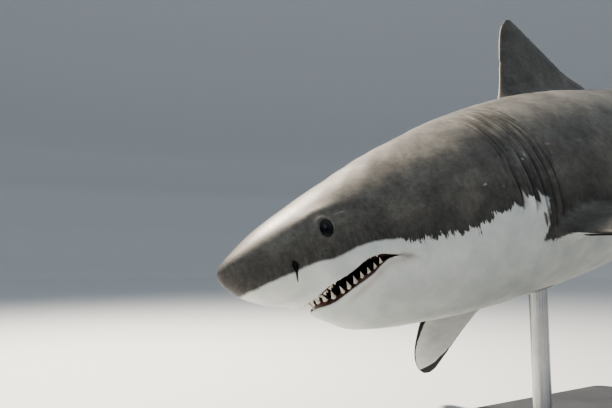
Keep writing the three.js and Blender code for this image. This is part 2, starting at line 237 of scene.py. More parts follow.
# Head: lids and brow, cheek, upper lip, chin, and the fold that runs back from the mouth's corner
eye_station = 6.6
eye_angle = 6.2
left_eye = body_point(eye_station, eye_angle)
points = body_point(S, A)
to_eye = np.linalg.norm((points - left_eye) * [1.2, 0, 0.92], axis=-1) / mm
on_side = np.abs(flank) < 62
rise += on_side * 3.2 * hump(to_eye, 31, 9)
rise -= on_side * 1.4 * hump(to_eye, 50, 10)
# Painted shade in a ring round the eye socket, where the lids shade it
deep = np.maximum(deep, on_side * 0.35 * hump(to_eye, 24, 5))
rise += 4.0 * hump(S, 6.9, 1.7) * hump(flank, 27, 7)
rise -= 2.6 * hump(S, 8.2, 1.3) * hump(flank, -6, 9)
rise -= 2.4 * hump(S, 4.6, 0.9) * hump(flank, 4, 12)
rise += 6.0 * hump(S, 13.6, 2.3) * hump(flank, -36, 11)
rise += 3.5 * hump(S, 9.3, 2.6) * hump(points[..., 2], -1.95, 0.36)
rise += 2.5 * hump(S, 8.8, 2.2) * hump(points[..., 2], -4.6, 0.8)
over_lip = points[..., 2] - through(mouth, S, 2)
rise += 4.5 * hump(over_lip, -0.12, 0.17) * ease(4.8, 5.6, S) * (1 - ease(7, 9.5, S))
chin = 1 - 0.6 * ease(7.4, 10.5, S) - 0.4 * ease(11, 15, S)
rise += 10.0 * ease(5.3, 6.6, S) * chin * ease(60, 85, -flank)
fold_height = -2.84 - 0.42 * (S - 11.0)
rise -= 7.0 * hump(points[..., 2], fold_height, 0.22) * ease(10.7, 11.3, S) * (1 - ease(11.8, 13.6, S))
# Painted shade along the fold behind the mouth's corner
fold_shade = hump(points[..., 2], fold_height, 0.13) * ease(10.9, 11.2, S) * (1 - ease(11.3, 12.8, S))
deep = np.maximum(deep, 0.45 * fold_shade)
rise += 3.4 * hump(S, 3.66, 0.24) * hump(flank, -25, 9)
rise += 2.8 * hump(S, 4.32, 0.2) * hump(flank, -38, 8)
rise -= 3.0 * hump(S, 4.1, 0.3) * hump(flank, -20, 9)
# Painted shade in the nostril
deep = np.maximum(deep, 0.45 * hump(S, 4.12, 0.22) * hump(flank, -19, 6))

# The crease that runs back from the last slit, over the pectoral fin's root, with painted shade along it
crease_height = np.interp(S, [26.8, 27.6, 28.2, 29.7, 32.6], [-3.7, -3.85, -3.8, -3.9, -4.5])
crease = hump(points[..., 2], crease_height, 0.16) * ease(26.6, 27.6, S) * (1 - ease(30.5, 32.6, S))
rise -= 5.0 * crease
deep = np.maximum(deep, 0.6 * crease)

# The pits before the tail fin, the vent, and the long soft bands of muscle
rise -= 9.0 * hump(S, 82.2, 0.5) * ease(55, 80, np.abs(flank))
rise -= 6.0 * hump(S, 59.6, 0.9) * hump(points[..., 1], 0, 0.28) * (flank < 0)
rise += 1.6 * np.sin(S * 0.9 + flank * 0.05) * np.sin(flank * 0.085 + S * 0.21) * ease(9, 16, S)
rise += 0.8 * np.sin(S * 2.7 - flank * 0.11 + 1.3) * np.sin(flank * 0.2 + 0.6) * ease(6, 12, S)

body = body_point(S + lean, A) + body_normal(S + lean, A) * (rise * mm)[..., None]
body[..., 0] += slide * mm

# The lower jaw's front is rounder than the snout over it, and set back from it
off_middle = np.abs(points[..., 1])
rounder = 1 + 0.95 * ease(0, 2.6, off_middle) * (1 - ease(2.2, 6.5, off_middle))
body[..., 0] += 0.35 * rounder * (1 - ease(0.1, 0.44, over_lip)) * (1 - ease(7, 9.5, S))


def closed_loft(rings):
    """Rings of points in a row, joined with four-sided faces and closed over a point at each end."""
    rings = np.asarray(rings, float)
    rows, count = rings.shape[:2]
    points = np.concatenate([rings.reshape(-1, 3), rings[:1].mean(1), rings[-1:].mean(1)])
    here = np.arange(rows * count).reshape(rows, count)
    beside = np.roll(here, -1, 1)
    walls = np.stack([here[:-1], beside[:-1], beside[1:], here[1:]], -1).reshape(-1, 4)
    first = np.full(count, rows * count)
    faces = walls.tolist()
    faces += np.stack([first, beside[0], here[0]], -1).tolist()
    faces += np.stack([first + 1, here[-1], beside[-1]], -1).tolist()
    a, b, c = points[walls[:, 0]], points[walls[:, 1]], points[walls[:, 2]]
    d = points[walls[:, 3]]
    volume = (np.cross(b - a, c - a) * a).sum() + (np.cross(c - a, d - a) * a).sum()
    if volume < 0:
        faces = [face[::-1] for face in faces]
    return points, faces


def joined(parts):
    """Several (points, faces) as one."""
    points, faces, start = [], [], 0
    for some_points, some_faces in parts:
        points.append(some_points)
        faces += [[i + start for i in face] for face in some_faces]
        start += len(some_points)
    return np.concatenate(points), faces


def piece(name, points, faces):
    """A new object, shaded smooth, from points in metres."""
    mesh = bpy.data.meshes.new(name)
    mesh.from_pydata(np.asarray(points).tolist(), [], faces, shade_flat=False)
    mesh.update()
    made = bpy.data.objects.new(name, mesh)
    bpy.context.scene.collection.objects.link(made)
    return made


# What the paint has to know at each point, of the body here and of the fins below
no_edge = -0.3
unless_told = {"kind": 0, "deep": 0, "tone": 0, "edge": no_edge, "ring": 0, "own": 0, "stain": 0, "pleat": 0}
told = {name: [] for name in ("point", *unless_told)}


def tell(points, **facts):
    """Keeps these points with their facts, each one value or a value for every point."""
    told["point"].append(points)
    for name, usual in unless_told.items():
        told[name].append(np.zeros(len(points)) + facts.get(name, usual))


def with_poles(values, first=0, last=0):
    """The values of a loft's rings, and then those of its two middle points."""
    return np.append(values.ravel(), [first, last])


body_points, body_faces = closed_loft(body)
skin = piece("skin", body_points * percent, body_faces)
stain = hump(over_lip, -0.3, 0.28) * ease(6.4, 7.6, S) * (1 - ease(11.4, 12.8, S))
tell(
    body_points,
    deep=with_poles(deep),
    ring=with_poles(S, 0, 90),
    stain=with_poles(stain),
    pleat=with_poles(pleats),
)

# ---------- Skin: the fins ----------
# Stiff blades on cartilage rods, thick at the root and thin at the trailing edge. They are the same
# cast skin as the body, and swell into it at the root.

# Outlines in percent: distance out, leading edge, trailing edge, half thickness
first_dorsal = [
    (0, -2.2, 14.8, 0.75),
    (1.2, -0.7, 14.3, 0.64),
    (3.4, 1.0, 12.2, 0.52),
    (5.2, 2.2, 11.2, 0.44),
    (8.6, 4.4, 9.4, 0.33),
    (10.4, 5.9, 8.4, 0.22),
    (11.15, 7.0, 7.9, 0.1),
]
second_dorsal = [
    (0, 0, 2.9, 0.2),
    (0.8, 0.5, 2.7, 0.15),
    (1.3, 1.0, 1.9, 0.1),
    (1.9, 1.45, 1.75, 0.05),
]
pectoral = [
    (-2.4, 0.3, 7.0, 0.8),
    (0, 0, 7.6, 0.68),
    (2.4, -0.2, 7.7, 0.56),
    (5.4, -0.1, 6.7, 0.45),
    (9.2, 0.8, 6.5, 0.34),
    (13.2, 2.3, 6.6, 0.22),
    (16.2, 4.2, 6.6, 0.12),
    (17.2, 5.3, 6.25, 0.06),
]
pelvic = [
    (-1.4, 0, 5.2, 0.4),
    (0, 0, 6.4, 0.32),
    (1.4, 0.7, 6.0, 0.25),
    (3.0, 2.4, 5.5, 0.16),
    (4.0, 3.9, 5.2, 0.08),
]
upper_lobe = [
    (0, -3.8, 7.4, 0.62),
    (2.2, -3.0, 7.6, 0.55),
    (4.6, 0.9, 8.5, 0.42),
    (8.5, 5.2, 10.3, 0.34),
    (12.5, 9.0, 12.6, 0.26),
    (15.0, 11.5, 14.3, 0.18),
    (15.8, 12.4, 14.9, 0.14),
    (16.4, 13.2, 15.9, 0.1),
    (17.5, 14.9, 15.4, 0.05),
]
lower_lobe = [
    (0, -2.2, 7.3, 0.62),
    (1.8, -1.0, 7.6, 0.5),
    (4.2, 1.9, 8.5, 0.38),
    (8.0, 5.9, 10.2, 0.28),
    (11.6, 9.2, 11.8, 0.16),
    (13.0, 11.0, 11.6, 0.06),
]


def unit(vector):
    return np.array(vector, float) / np.linalg.norm(vector)


def pectoral_frame(side):
    """Where a pectoral fin is set. Side is 1 for the left one. The shark steers with them, so they differ."""
    droop = math.radians(20 if side > 0 else 25)
    twist = math.radians(6 if side > 0 else -15)
    out = unit((0, -side * math.cos(droop), -math.sin(droop)))
    aft = (math.cos(twist), -side * math.sin(twist) * math.sin(droop), math.sin(twist) * math.cos(droop))
    return np.array([25.2, -side * 7.1, -5.18 if side > 0 else -5.4]), out, unit(aft)


def pelvic_frame(side):
    droop = math.radians(38)
    out = unit((0, -side * math.cos(droop), -math.sin(droop)))
    return np.array([56.6, -side * 3.9, -5.5]), out, unit((1, 0, -0.16))


backward = unit((1, 0, 0))
upward = unit((0, 0, 1))
fins = [
    # name, outline, setting, rows, steps along the chord, height of the root, flare there, paint
    ("first dorsal", first_dorsal, (np.array([36.2, 0, 8.6]), upward, backward), 44, 26, 0.9, 0.5, "grey"),
    ("second dorsal", second_dorsal, (np.array([72.2, 0, 3.2]), upward, backward), 18, 14, 0.5, 0.15, "grey"),
    ("anal", second_dorsal, (np.array([74.6, 0, -2.3]), -upward, backward), 18, 14, 0.3, 0.15, "pale"),
    ("left pectoral", pectoral, pectoral_frame(1), 56, 24, 0.4, 0.55, "two-sided"),
    ("right pectoral", pectoral, pectoral_frame(-1), 56, 24, 0.4, 0.55, "two-sided"),
    ("left pelvic", pelvic, pelvic_frame(1), 24, 16, 0.1, 0.22, "two-sided"),
    ("right pelvic", pelvic, pelvic_frame(-1), 24, 16, 0.1, 0.22, "two-sided"),
    ("upper lobe", upper_lobe, (np.array([84.4, 0, -0.15]), upward, backward), 52, 18, 1.5, 0.0, "grey"),
    ("lower lobe", lower_lobe, (np.array([84.4, 0, 0.15]), -upward, backward), 44, 18, 1.4, 0.0, "grey"),
]

fin_parts = {}
for number, (name, outline, (origin, out, aft), rows, steps, foot, flare, paint) in enumerate(fins, 1):
    low, high = outline[0][0], outline[-1][0]
    reach = low + (high - low) * np.sin(np.pi / 2 * np.linspace(0, 1, rows + 1))
    lead, trail, thick = (through(outline, reach, column)[:, None] for column in (1, 2, 3))
    reach = reach[:, None]
    ragged = ease(foot + 0.5, foot + 2, reach) * (1 - ease(high - 1, high, reach))
    if "pectoral" in name:
        ragged = ragged * 0.35
    fine_nicks = 0.02 * np.sin(reach * 21.7 + 2 * number)
    trail = trail + ragged * (0.024 * np.sin(reach * 9.1 + number) + fine_nicks)
    if name == "first dorsal":
        lead = lead + 0.16 * hump(reach, 5.6, 0.16) + 0.06 * hump(reach, 7.4, 0.12)
        trail = trail - 0.12 * hump(reach, 8.9, 0.14)
    if name == "right pectoral":
        trail = trail - 0.1 * hump(reach, 12.1, 0.18)
    along = np.linspace(-1, 1, 2 * steps + 1)[None, :]
    chord = along**2
    skirt = flare * np.exp(-np.maximum(reach - foot, 0) / 0.55) * (1 - ease(0.86, 1, chord) * 0.5)
    swell = (thick + skirt) * 2.6 * np.sqrt(chord) * (1 - chord) + 0.035 * chord
    chord_place = lead - skirt * 0.9 * (1 - chord) ** 6 + (trail - lead) * chord
    across = np.cross(out, aft)
    blade = origin + reach[..., None] * out + chord_place[..., None] * aft
    fin_parts[name] = closed_loft(blade + (np.sign(along) * swell)[..., None] * across)
    if paint == "two-sided":
        face_side = np.sign(along) * (1 if across[2] > 0 else -1) * np.ones_like(reach)
        tone = face_side * 0.12 * ease(0.0, 0.012, chord) + 0.006 * (1 - ease(0, 0.03, chord))
        # The dark tip and edges of the pale underside, as the distance inside them
        outer = (reach - low) / (high - low)
        size = max(high / pectoral[-1][0], 0.35)
        band = 0.12 * ease(0.4, 0.55, outer) + 0.75 * ease(0.7, 0.88, outer) + 1.6 * ease(0.86, 0.97, outer)
        behind = band * size - (trail - chord_place)
        tip = (outer - 0.935) * (high - low) + 0.5 * (chord - 0.4) * size
        front = (0.34 * (1 - ease(0.3, 0.75, outer)) + 0.11) * size - (chord_place - lead)
        edge = np.where(face_side < 0, np.maximum(np.maximum(behind, tip), front), no_edge)
    else:
        tone = np.full_like(swell, 0.05 if paint == "grey" else -0.01)
        edge = np.full_like(swell, no_edge)
    own = ease(foot, foot + 2.6, reach + 0.7 * np.sin(5.0 * chord + number))
    tell(
        fin_parts[name][0],
        kind=number,
        own=with_poles(own, 0, 1),
        tone=with_poles(tone, 0.02, 0.02),
        edge=with_poles(edge, no_edge, edge.max()),
    )


def vertices(mesh):
    flat = np.empty(len(mesh.vertices) * 3, np.float32)
    mesh.vertices.foreach_get("co", flat)
    return flat.reshape(-1, 3).astype(float)


def move_vertices(mesh, places):
    mesh.vertices.foreach_set("co", places.astype(np.float32).ravel())
    mesh.update()


def ends_of_edges(mesh):
    pairs = np.empty(len(mesh.edges) * 2, np.int32)
    mesh.edges.foreach_get("vertices", pairs)
    return pairs.reshape(-1, 2)


def tree_of(points):
    tree = kdtree.KDTree(len(points))
    for i, point in enumerate(points):
        tree.insert(point, i)
    tree.balance()
    return tree


def select_only(made):
    bpy.ops.object.select_all(action="DESELECT")
    bpy.context.view_layer.objects.active = made
    made.select_set(True)


def combine(whole, tool, operation):
    """Adds or takes away a tool, and returns the points of the seam that it left."""
    known = tree_of(np.concatenate([vertices(whole.data), vertices(tool.data)]))
    change = whole.modifiers.new(operation, "BOOLEAN")
    change.operation = operation
    change.solver = "MANIFOLD"
    change.object = tool
    select_only(whole)
    bpy.ops.object.modifier_apply(modifier=change.name)
    bpy.data.objects.remove(tool)
    after = vertices(whole.data)
    return np.array([p for p in after if known.find(p)[2] > 2e-6]).reshape(-1, 3)


def soften(whole, seam, reach, rounds):
    """Rounds off a seam: points within reach of it, in metres, move towards their neighbours' middle."""
    near = tree_of(seam)
    places = vertices(whole.data)
    pull = 1 - ease(0, reach, np.array([near.find(p)[2] for p in places]))
    first, second = ends_of_edges(whole.data).T
    count = len(places)
    share = np.bincount(first, minlength=count) + np.bincount(second, minlength=count)
    for _ in range(rounds):
        total = np.stack([
            np.bincount(first, places[second, k], count) + np.bincount(second, places[first, k], count)
            for k in range(3)
        ], -1)
        places += 0.6 * pull[:, None] * (total / share[:, None] - places)
    move_vertices(whole.data, places)


def tool_from(name, parts):
    points, faces = joined(parts)
    return piece(name, points * percent, faces)


most_fins = tool_from("fins", [part for name, part in fin_parts.items() if name != "lower lobe"])
roots = combine(skin, most_fins, "UNION")
tail_root = combine(skin, tool_from("lobe", [fin_parts["lower lobe"]]), "UNION")
soften(skin, np.concatenate([roots, tail_root]), 0.034, 14)

# ---------- Skin: the mouth, nostrils and eye sockets ----------
# The jaws hang open, so the mouth is a real hollow behind rounded lips. The nostrils are short
# curved slits under the snout, and each eye sits in an oval socket.

gape = []
across = np.linspace(-9, 9, 120)
for station in np.linspace(4, 11.1, 110):
    top = np.stack(np.broadcast_arrays(station, across, through(mouth, station, 1)), -1)
    bottom = np.stack(np.broadcast_arrays(station, across[::-1], through(mouth, station, 2)), -1)
    gape.append(np.concatenate([top, bottom]))


def circle(steps):
    return np.radians(np.linspace(0, 360, steps, endpoint=False))


# The hollow behind the lips is an egg: its middle, and its half sizes along, across and up
hollow_station, hollow_height = 10.4, -3.45
hollow_long, hollow_wide, hollow_tall = 3.7, 3.7, 1.75
hollow = []
for t in np.radians(np.linspace(1, 179, 40)):
    hollow.append(np.stack(np.broadcast_arrays(
        hollow_station - hollow_long * math.cos(t),
        hollow_wide * math.sin(t) * np.cos(circle(64)),
        hollow_height + hollow_tall * math.sin(t) * np.sin(circle(64)),
    ), -1))


def lip_line(column):
    """One side's lip from the mouth's front to its corner: rows of station, distance out and height."""
    to_side = [j for j in np.argsort(angles) if angles[j] >= 270]
    lower_left = body[:, to_side]
    line = []
    for station in np.concatenate([np.linspace(4.6, 6.6, 500), np.linspace(6.61, 11.05, 300)]):
        i = np.searchsorted(stations, station) - 1
        t = (station - stations[i]) / (stations[i + 1] - stations[i])
        arc = lower_left[i] * (1 - t) + lower_left[i + 1] * t
        gap = arc[:, 2] - through(mouth, arc[:, 0], column)
        if gap[0] < 0:
            j = np.argmax(gap > 0)
            t = gap[j - 1] / (gap[j - 1] - gap[j])
            line.append(np.abs(arc[j - 1] * (1 - t) + arc[j] * t) * [1, 1, -1])
    line = np.array(line)
    front = [(line[0, 0] - 0.01, 0, line[0, 2])]
    return np.concatenate([front, line])


def along_lip(line, runs):
    """Places on a lip line at these runs from its front, the way out of the mouth, and the whole run."""
    run = np.concatenate([[0], np.cumsum(np.linalg.norm(np.diff(line[:, :2], axis=0), axis=1))])
    spots = np.stack([np.interp(runs, run, line[:, k]) for k in range(3)], -1)
    ahead = np.stack([np.interp(runs + 0.12, run, line[:, k]) for k in range(2)], -1)
    behind = np.stack([np.interp(np.maximum(runs - 0.12, 0), run, line[:, k]) for k in range(2)], -1)
    heading = ahead - behind
    heading[np.asarray(runs) < 0.02] = (0, 1)
    heading /= np.linalg.norm(heading, axis=1)[:, None]
    outward = np.stack([-heading[:, 1], heading[:, 0], np.zeros(len(spots))], -1)
    return spots, outward, run[-1]


def round_the_mouth(column, count):
    """Steps along a lip from one corner, round the front, to the other, and the run from front to corner.

    Each step is its run from the front, its spot, the way out of the mouth there, and its side.
    """
    line = lip_line(column)
    whole = along_lip(line, np.array([0.0]))[2]
    runs = np.linspace(0, whole * 0.9, count)
    spots, outward, _ = along_lip(line, runs)
    steps = []
    for side, order in ((1, range(count - 1, -1, -1)), (-1, range(1, count))):
        mirror = np.array([1, -side, 1])
        steps += [(runs[i], spots[i] * mirror, outward[i] * mirror, side) for i in order]
    return steps, whole


def lip_trench(column, up, inset, reach, deep_in):
    """The groove between lip and gum, sunk behind the lip from one corner of the mouth to the other."""
    steps, whole = round_the_mouth(column, 60)
    rings = []
    for run, spot, outward, _ in steps:
        fade = 1 - ease(whole * 0.5, whole * 0.95, run)
        depth = -deep_in * (0.08 + 0.92 * fade)
        narrow = 0.45 + 0.55 * fade
        profile = [
            (-inset, 7), (-inset, depth * 0.4), (-inset - 3, depth * 0.85), (-inset - 9, depth),
            (-reach + 9, depth), (-reach + 3, depth * 0.85), (-reach, depth * 0.4), (-reach, 7),
        ]
        rings.append([spot + outward * a * mm * narrow + np.array([0, 0, up]) * b * mm for a, b in profile])
    return closed_loft(rings)


mouth_tool = tool_from("gape", [closed_loft(gape)])
combine(mouth_tool, tool_from("hollow", [closed_loft(hollow)]), "UNION")
combine(mouth_tool, tool_from("trench", [lip_trench(1, -1, 11, 58, 18)]), "UNION")
combine(mouth_tool, tool_from("trench", [lip_trench(2, 1, 13, 46, 3)]), "UNION")


def slit_tool(line):
    """A curved slit. The line's rows are station, angle, and half width and depth in millimetres."""
    middles = np.array([body_point(row[0], row[1]) for row in line])
    heading = np.gradient(middles, axis=0)
    rows = []
    for (station, degrees, wide, deep_in), middle, ahead in zip(line, middles, heading):
        normal = body_normal(station, degrees)
        across = unit(np.cross(normal, ahead)) * wide * mm
        down = normal * deep_in * mm
        rows.append([
            middle + normal * 0.25 + across,
            middle + normal * 0.25 - across,
            middle - across,
            middle - down * 0.6 - across * 0.9,
            middle - down - across * 0.3,
            middle - down + across * 0.3,
            middle - down * 0.6 + across * 0.9,
            middle + across,
        ])
    return closed_loft(rows)


def mirrored(degrees, side):
    return degrees if side > 0 else 180 - degrees


# The eye is taller than it is long, and leans back
eye_radius = 0.74
eye_long = 0.86
eye_tall = 1.26


def eye_axes(normal):
    level = unit(np.cross(normal, [1, 0, 0]))
    fore = unit(np.cross(level, normal))
    lean_back = math.radians(20)
    tall = level * math.cos(lean_back) + fore * math.sin(lean_back)
    return unit(np.cross(tall, normal)), tall


nostril = [
    # station, angle, half width and depth in millimetres
    (3.92, -13.5, 1.5, 3), (3.97, -16, 5, 8), (4.01, -18.5, 8.5, 13), (4.03, -21, 10, 16), (4.05, -24, 9, 16),
    (4.06, -27, 6, 12), (4.07, -31, 3.6, 9), (4.07, -36, 2.8, 7), (4.1, -40, 2.2, 5), (4.14, -43.5, 1.2, 3),
]
socket_radius = eye_radius + 0.012
eyes = {}
openings = []
for side, name in ((1, "left"), (-1, "right")):
    degrees = mirrored(eye_angle, side)
    normal = body_normal(eye_station, degrees)
    centre = body_point(eye_station, degrees) + normal * (0.19 - eye_radius)
    fore, level = eye_axes(normal)
    eyes[name] = (centre, fore, level, normal)
    long_way = eye_long * np.cos(circle(48))[:, None] * fore
    tall_way = eye_tall * np.sin(circle(48))[:, None] * level
    openings.append(closed_loft([
        centre + normal * socket_radius * math.cos(t) + socket_radius * math.sin(t) * (long_way + tall_way)
        for t in np.radians(np.linspace(2, 178, 30))
    ]))
    openings.append(slit_tool([(row[0], mirrored(row[1], side), *row[2:]) for row in nostril]))

lips = combine(skin, mouth_tool, "DIFFERENCE")
soften(skin, lips[lips[:, 0] < 10.8 * percent], 0.012, 6)
lower_front = lips[(lips[:, 0] < 7 * percent) & (lips[:, 2] < -3.9 * percent)]
soften(skin, lower_front, 0.022, 12)
rims = combine(skin, tool_from("openings", openings), "DIFFERENCE")
soften(skin, rims, 0.004, 2)

# ---------- Skin: its colours ----------
# Slate grey above and white below, parted by a line that is soft along the snout and breaks into
# ragged spikes behind the mouth. Each point of the skin keeps what the paint needs to know there.

# The line itself, from the snout to the tail, as station and height. It hangs over itself at the gills.
shade_line = np.array([
    (-1, -1.1), (0, -1.15), (1, -1.7), (1.9, -1.75), (2.9, -1.65), (4.3, -1.6), (5.5, -1.5),
    (6.5, -1.7), (7.7, -1.5), (9, -1.4), (10.3, -1.6), (11.3, -1.9), (12.1, -2.4), (13.3, -2.4),
    (14.8, -2.7), (16, -3.1), (16.7, -2.9), (17.3, -3.15), (17.8, -2.77), (19.2, -2.42), (20.42, -2.42),
    (21.08, -2.04), (21.6, -2.1), (22.3, -1.95), (22.9, -1.93), (23.9, -2.2), (24.48, -2.34),
    (24.67, -2.45), (24.64, -2.83), (24.53, -3.19), (24.36, -3.74), (24.06, -4.57), (23.82, -4.87),
    (23.7, -5.05), (23.38, -5.48), (23.74, -5.47), (24.2, -5.43), (24.75, -5.58), (25.1, -5.6),
    (27.1, -5.76), (28.9, -6.0), (31.5, -5.6), (33.5, -4.2), (36, -3.4), (46, -3.0), (56, -2.4),
    (66, -1.6), (75, -0.9), (82, -0.6), (91, -0.4),
])


def over_the_line(x, z):
    """Distance to the line in the layout's side view, more than 0 above it and less than 0 below."""
    nearest_yet = np.full(len(x), np.inf)
    crossings = np.zeros(len(x), int)
    for (x0, z0), (x1, z1) in zip(shade_line[:-1], shade_line[1:]):
        dx, dz = x1 - x0, z1 - z0
        t = np.clip(((x - x0) * dx + (z - z0) * dz) / (dx * dx + dz * dz), 0, 1)
        nearest_yet = np.minimum(nearest_yet, np.hypot(x - x0 - t * dx, z - z0 - t * dz))
        between = (x >= min(x0, x1)) & (x < max(x0, x1))
        line_there = z0 + (x - x0) * dz / dx if dx else z
        crossings += between & (line_there > z)
    return np.where(crossings % 2 == 1, -nearest_yet, nearest_yet)


# Each point of the finished skin takes the facts of the point that it came from
finished = vertices(skin.data) / percent
station, sideways, height = finished.T
nearest = tree_of(np.concatenate(told["point"]))
match = np.array([nearest.find(p)[1] for p in finished])
known = {name: np.concatenate(values)[match] for name, values in told.items()}
distance = np.linalg.norm(known["point"] - finished, axis=1)
on_body = known["kind"] == 0
own = known["own"]

# A fin's own paint takes over from the body's towards its tip
over_line = over_the_line(station, height) * percent
lined_tone = np.where(on_body, over_line, np.maximum(over_line, -0.03))
tone = lined_tone * (1 - own) + known["tone"] * own
edge = known["edge"] * own + no_edge * (1 - own)
broken = ease(10.5, 12.5, station) * (1 - 0.7 * ease(19, 21, station) + 0.15 * ease(26, 30, station))
broken *= np.where(on_body, 1 - 0.3 * ease(45, 75, station), 0.9 - 0.75 * own)

# Painted shade in the nostrils too, darker where the cut skin lies further from the uncut skin
in_nose = (station > 3.7) & (station < 4.5) & (np.abs(sideways) > 2.2) & (height < -0.4)
dark = np.maximum(known["deep"], in_nose * ease(0.04, 0.16, distance))

# How far into the open mouth a point lies: 0 on the face, 1 from 14 mm inside the uncut skin
in_mouth = (height < -1.4) & (station > 4.6) & (station < 14.6)
uncut = BVHTree.FromPolygons(body_points.tolist(), [list(face) for face in body_faces])
mouth_in = np.zeros(len(finished))
for i in np.flatnonzero(in_mouth):
    mouth_in[i] = ease(0.1, 0.3, uncut.find_nearest(finished[i])[3])

painted = {
    "tone": tone, "broken": broken, "dark": dark, "edge": edge,
    "mouth": mouth_in, "pleat": known["pleat"], "ring": known["ring"] * percent, "stain": known["stain"],
}
for name, values in painted.items():
    layer = skin.data.attributes.new(name, "FLOAT", "POINT")
    layer.data.foreach_set("value", values.astype(np.float32))
layer = skin.data.attributes.new("layout", "FLOAT_VECTOR", "POINT")
layer.data.foreach_set("vector", (finished * percent).astype(np.float32).ravel())


def place(points):
    """From the straight layout, in percent, to the shark's place on its stand, in metres."""
    along, sideways, height = (np.asarray(points, float) * percent).T
    bend_start = 38 * percent
    bend_radius = 152 * percent
    turned = np.maximum(along - bend_start, 0) / bend_radius
    bent = along > bend_start
    x = np.where(bent, bend_start + (bend_radius + sideways) * np.sin(turned), along)
    y = np.where(bent, (bend_radius + sideways) * np.cos(turned) - bend_radius, sideways)
    roll = Matrix.Rotation(math.radians(-17.5), 3, "X")
    nose_down = Matrix.Rotation(math.radians(-13.8), 3, "Y")
    snout_tip = [-1.79, 0.03, 0.72]
    return np.stack([x, y, height], -1) @ np.array(nose_down @ roll).T + snout_tip


move_vertices(skin.data, place(finished))


def linear(colour):
    """An sRGB hex colour as the linear values that a shader takes."""
    parts = [int(colour[i:i + 2], 16) / 255 for i in (1, 3, 5)]
    return tuple(p / 12.92 if p <= 0.04045 else ((p + 0.055) / 1.055) ** 2.4 for p in parts) + (1.0,)


def add(material, kind, inputs=(), stops=(), **settings):
    """A shader node with its settings.

    The inputs are named, or come in the node's own order: a map range takes a value, the range that it
    comes from and the range that it goes to. Each input takes a value, a node whose first output it is
    linked to, or a node and the name of its output. The stops are a colour ramp's.
    """
    made = material.node_tree.nodes.new("ShaderNode" + kind)
    for name, value in settings.items():
        setattr(made, name, value)
    for name, value in inputs.items() if isinstance(inputs, dict) else enumerate(inputs):
        node, output = value if isinstance(value, tuple) and len(value) == 2 else (value, 0)
        if isinstance(node, bpy.types.Node):
            material.node_tree.links.new(node.outputs[output], made.inputs[name])
        else:
            made.inputs[name].default_value = value
    for i, (where_on_ramp, colour) in enumerate(stops):
        stop = made.color_ramp.elements[i] if i < 2 else made.color_ramp.elements.new(where_on_ramp)
        stop.position = where_on_ramp
        stop.color = linear(colour)
    return made


def blank(name):
    """A new material with nothing in it but its output."""
    made = bpy.data.materials.new(name)
    made.use_nodes = True
    made.node_tree.nodes.clear()
    return made


# Painted cast skin: satin, with no shine of its own beyond a faint wet look
hide = blank("painted_shark_skin")
where = (add(hide, "Attribute", attribute_name="layout"), "Vector")
tone_at, broken_at, painted_shade_at, edge_at, mouth_at, pleat_at, ring_at, stain_at = (
    (add(hide, "Attribute", attribute_name=name), "Fac") for name in painted
)
in_layout = add(hide, "SeparateXYZ", {"Vector": where})

# Spikes 8 to 12 mm apart and a few centimetres long, over blotches about 40 mm across
stretched = add(hide, "Mapping", {"Vector": where, "Scale": (125, 12, 14)})
spikes = add(hide, "TexNoise", {"Vector": stretched, "Scale": 1.0, "Detail": 4.0, "Roughness": 0.7})
spikes_size = add(hide, "Math", (spikes, -0.5), operation="ADD")
spikes_deep = add(hide, "Math", (spikes_size, 0.085), operation="MULTIPLY")
blotch = add(hide, "TexNoise", {"Vector": where, "Scale": 26.0, "Detail": 3.0, "Roughness": 0.6})
blotch_size = add(hide, "Math", (blotch, -0.5), operation="ADD")
blotch_deep = add(hide, "Math", (blotch_size, 0.05), operation="MULTIPLY")
ragged = add(hide, "Math", (spikes_deep, blotch_deep), operation="ADD")
ragged_here = add(hide, "Math", (ragged, broken_at, tone_at), operation="MULTIPLY_ADD")
wander = add(hide, "Math", (blotch_size, 0.012, ragged_here), operation="MULTIPLY_ADD")

# Beside the gills the grey hangs down in spikes, and the white climbs between them. Corners are
# station and height.
for corners_of, darker in (
    ([(21.05, -1.95), (21.4, -2.42), (21.9, -2.64), (22.12, -2.1), (22.2, -1.5)], True),
    ([(22.7, -1.6), (23.34, -2.28), (23.58, -2.8), (23.74, -2.4), (23.84, -1.5)], True),
    ([(23.66, -3.42), (23.78, -4.1), (23.92, -4.52), (24.02, -4.2), (23.88, -3.5), (23.76, -3.32)], True),
    ([(22.06, -2.45), (22.4, -2.6), (22.52, -1.98), (22.3, -1.25)], False),
    ([(23.74, -2.6), (23.98, -2.6), (23.94, -2.2), (23.81, -1.8)], False),
):
    inside = None
    for (x0, z0), (x1, z1) in zip(corners_of, corners_of[1:] + corners_of[:1]):
        across = Vector((z0 - z1, 0, x1 - x0)).normalized()
        side = add(hide, "VectorMath", (where, across), operation="DOT_PRODUCT")
        start = across.dot(Vector((x0, 0, z0))) * percent
        depth = add(hide, "Math", ((side, "Value"), start), operation="SUBTRACT")
        inside = add(hide, "Math", (inside, depth), operation="MINIMUM") if inside else depth
    inside = add(hide, "Math", (spikes_size, 0.012, inside), operation="MULTIPLY_ADD")
    if darker:
        wander = add(hide, "Math", (wander, inside), operation="MAXIMUM")
    else:
        outside = add(hide, "Math", (inside, -1.0), operation="MULTIPLY")
        wander = add(hide, "Math", (wander, outside), operation="MINIMUM")
softness = add(hide, "MapRange", (broken_at, 0.0, 1.0, 0.0055, 0.0034))
hardness = add(hide, "Math", (wander, softness), operation="DIVIDE")
upper_side = add(hide, "MapRange", (hardness, -1.0, 1.0), interpolation_type="SMOOTHSTEP")

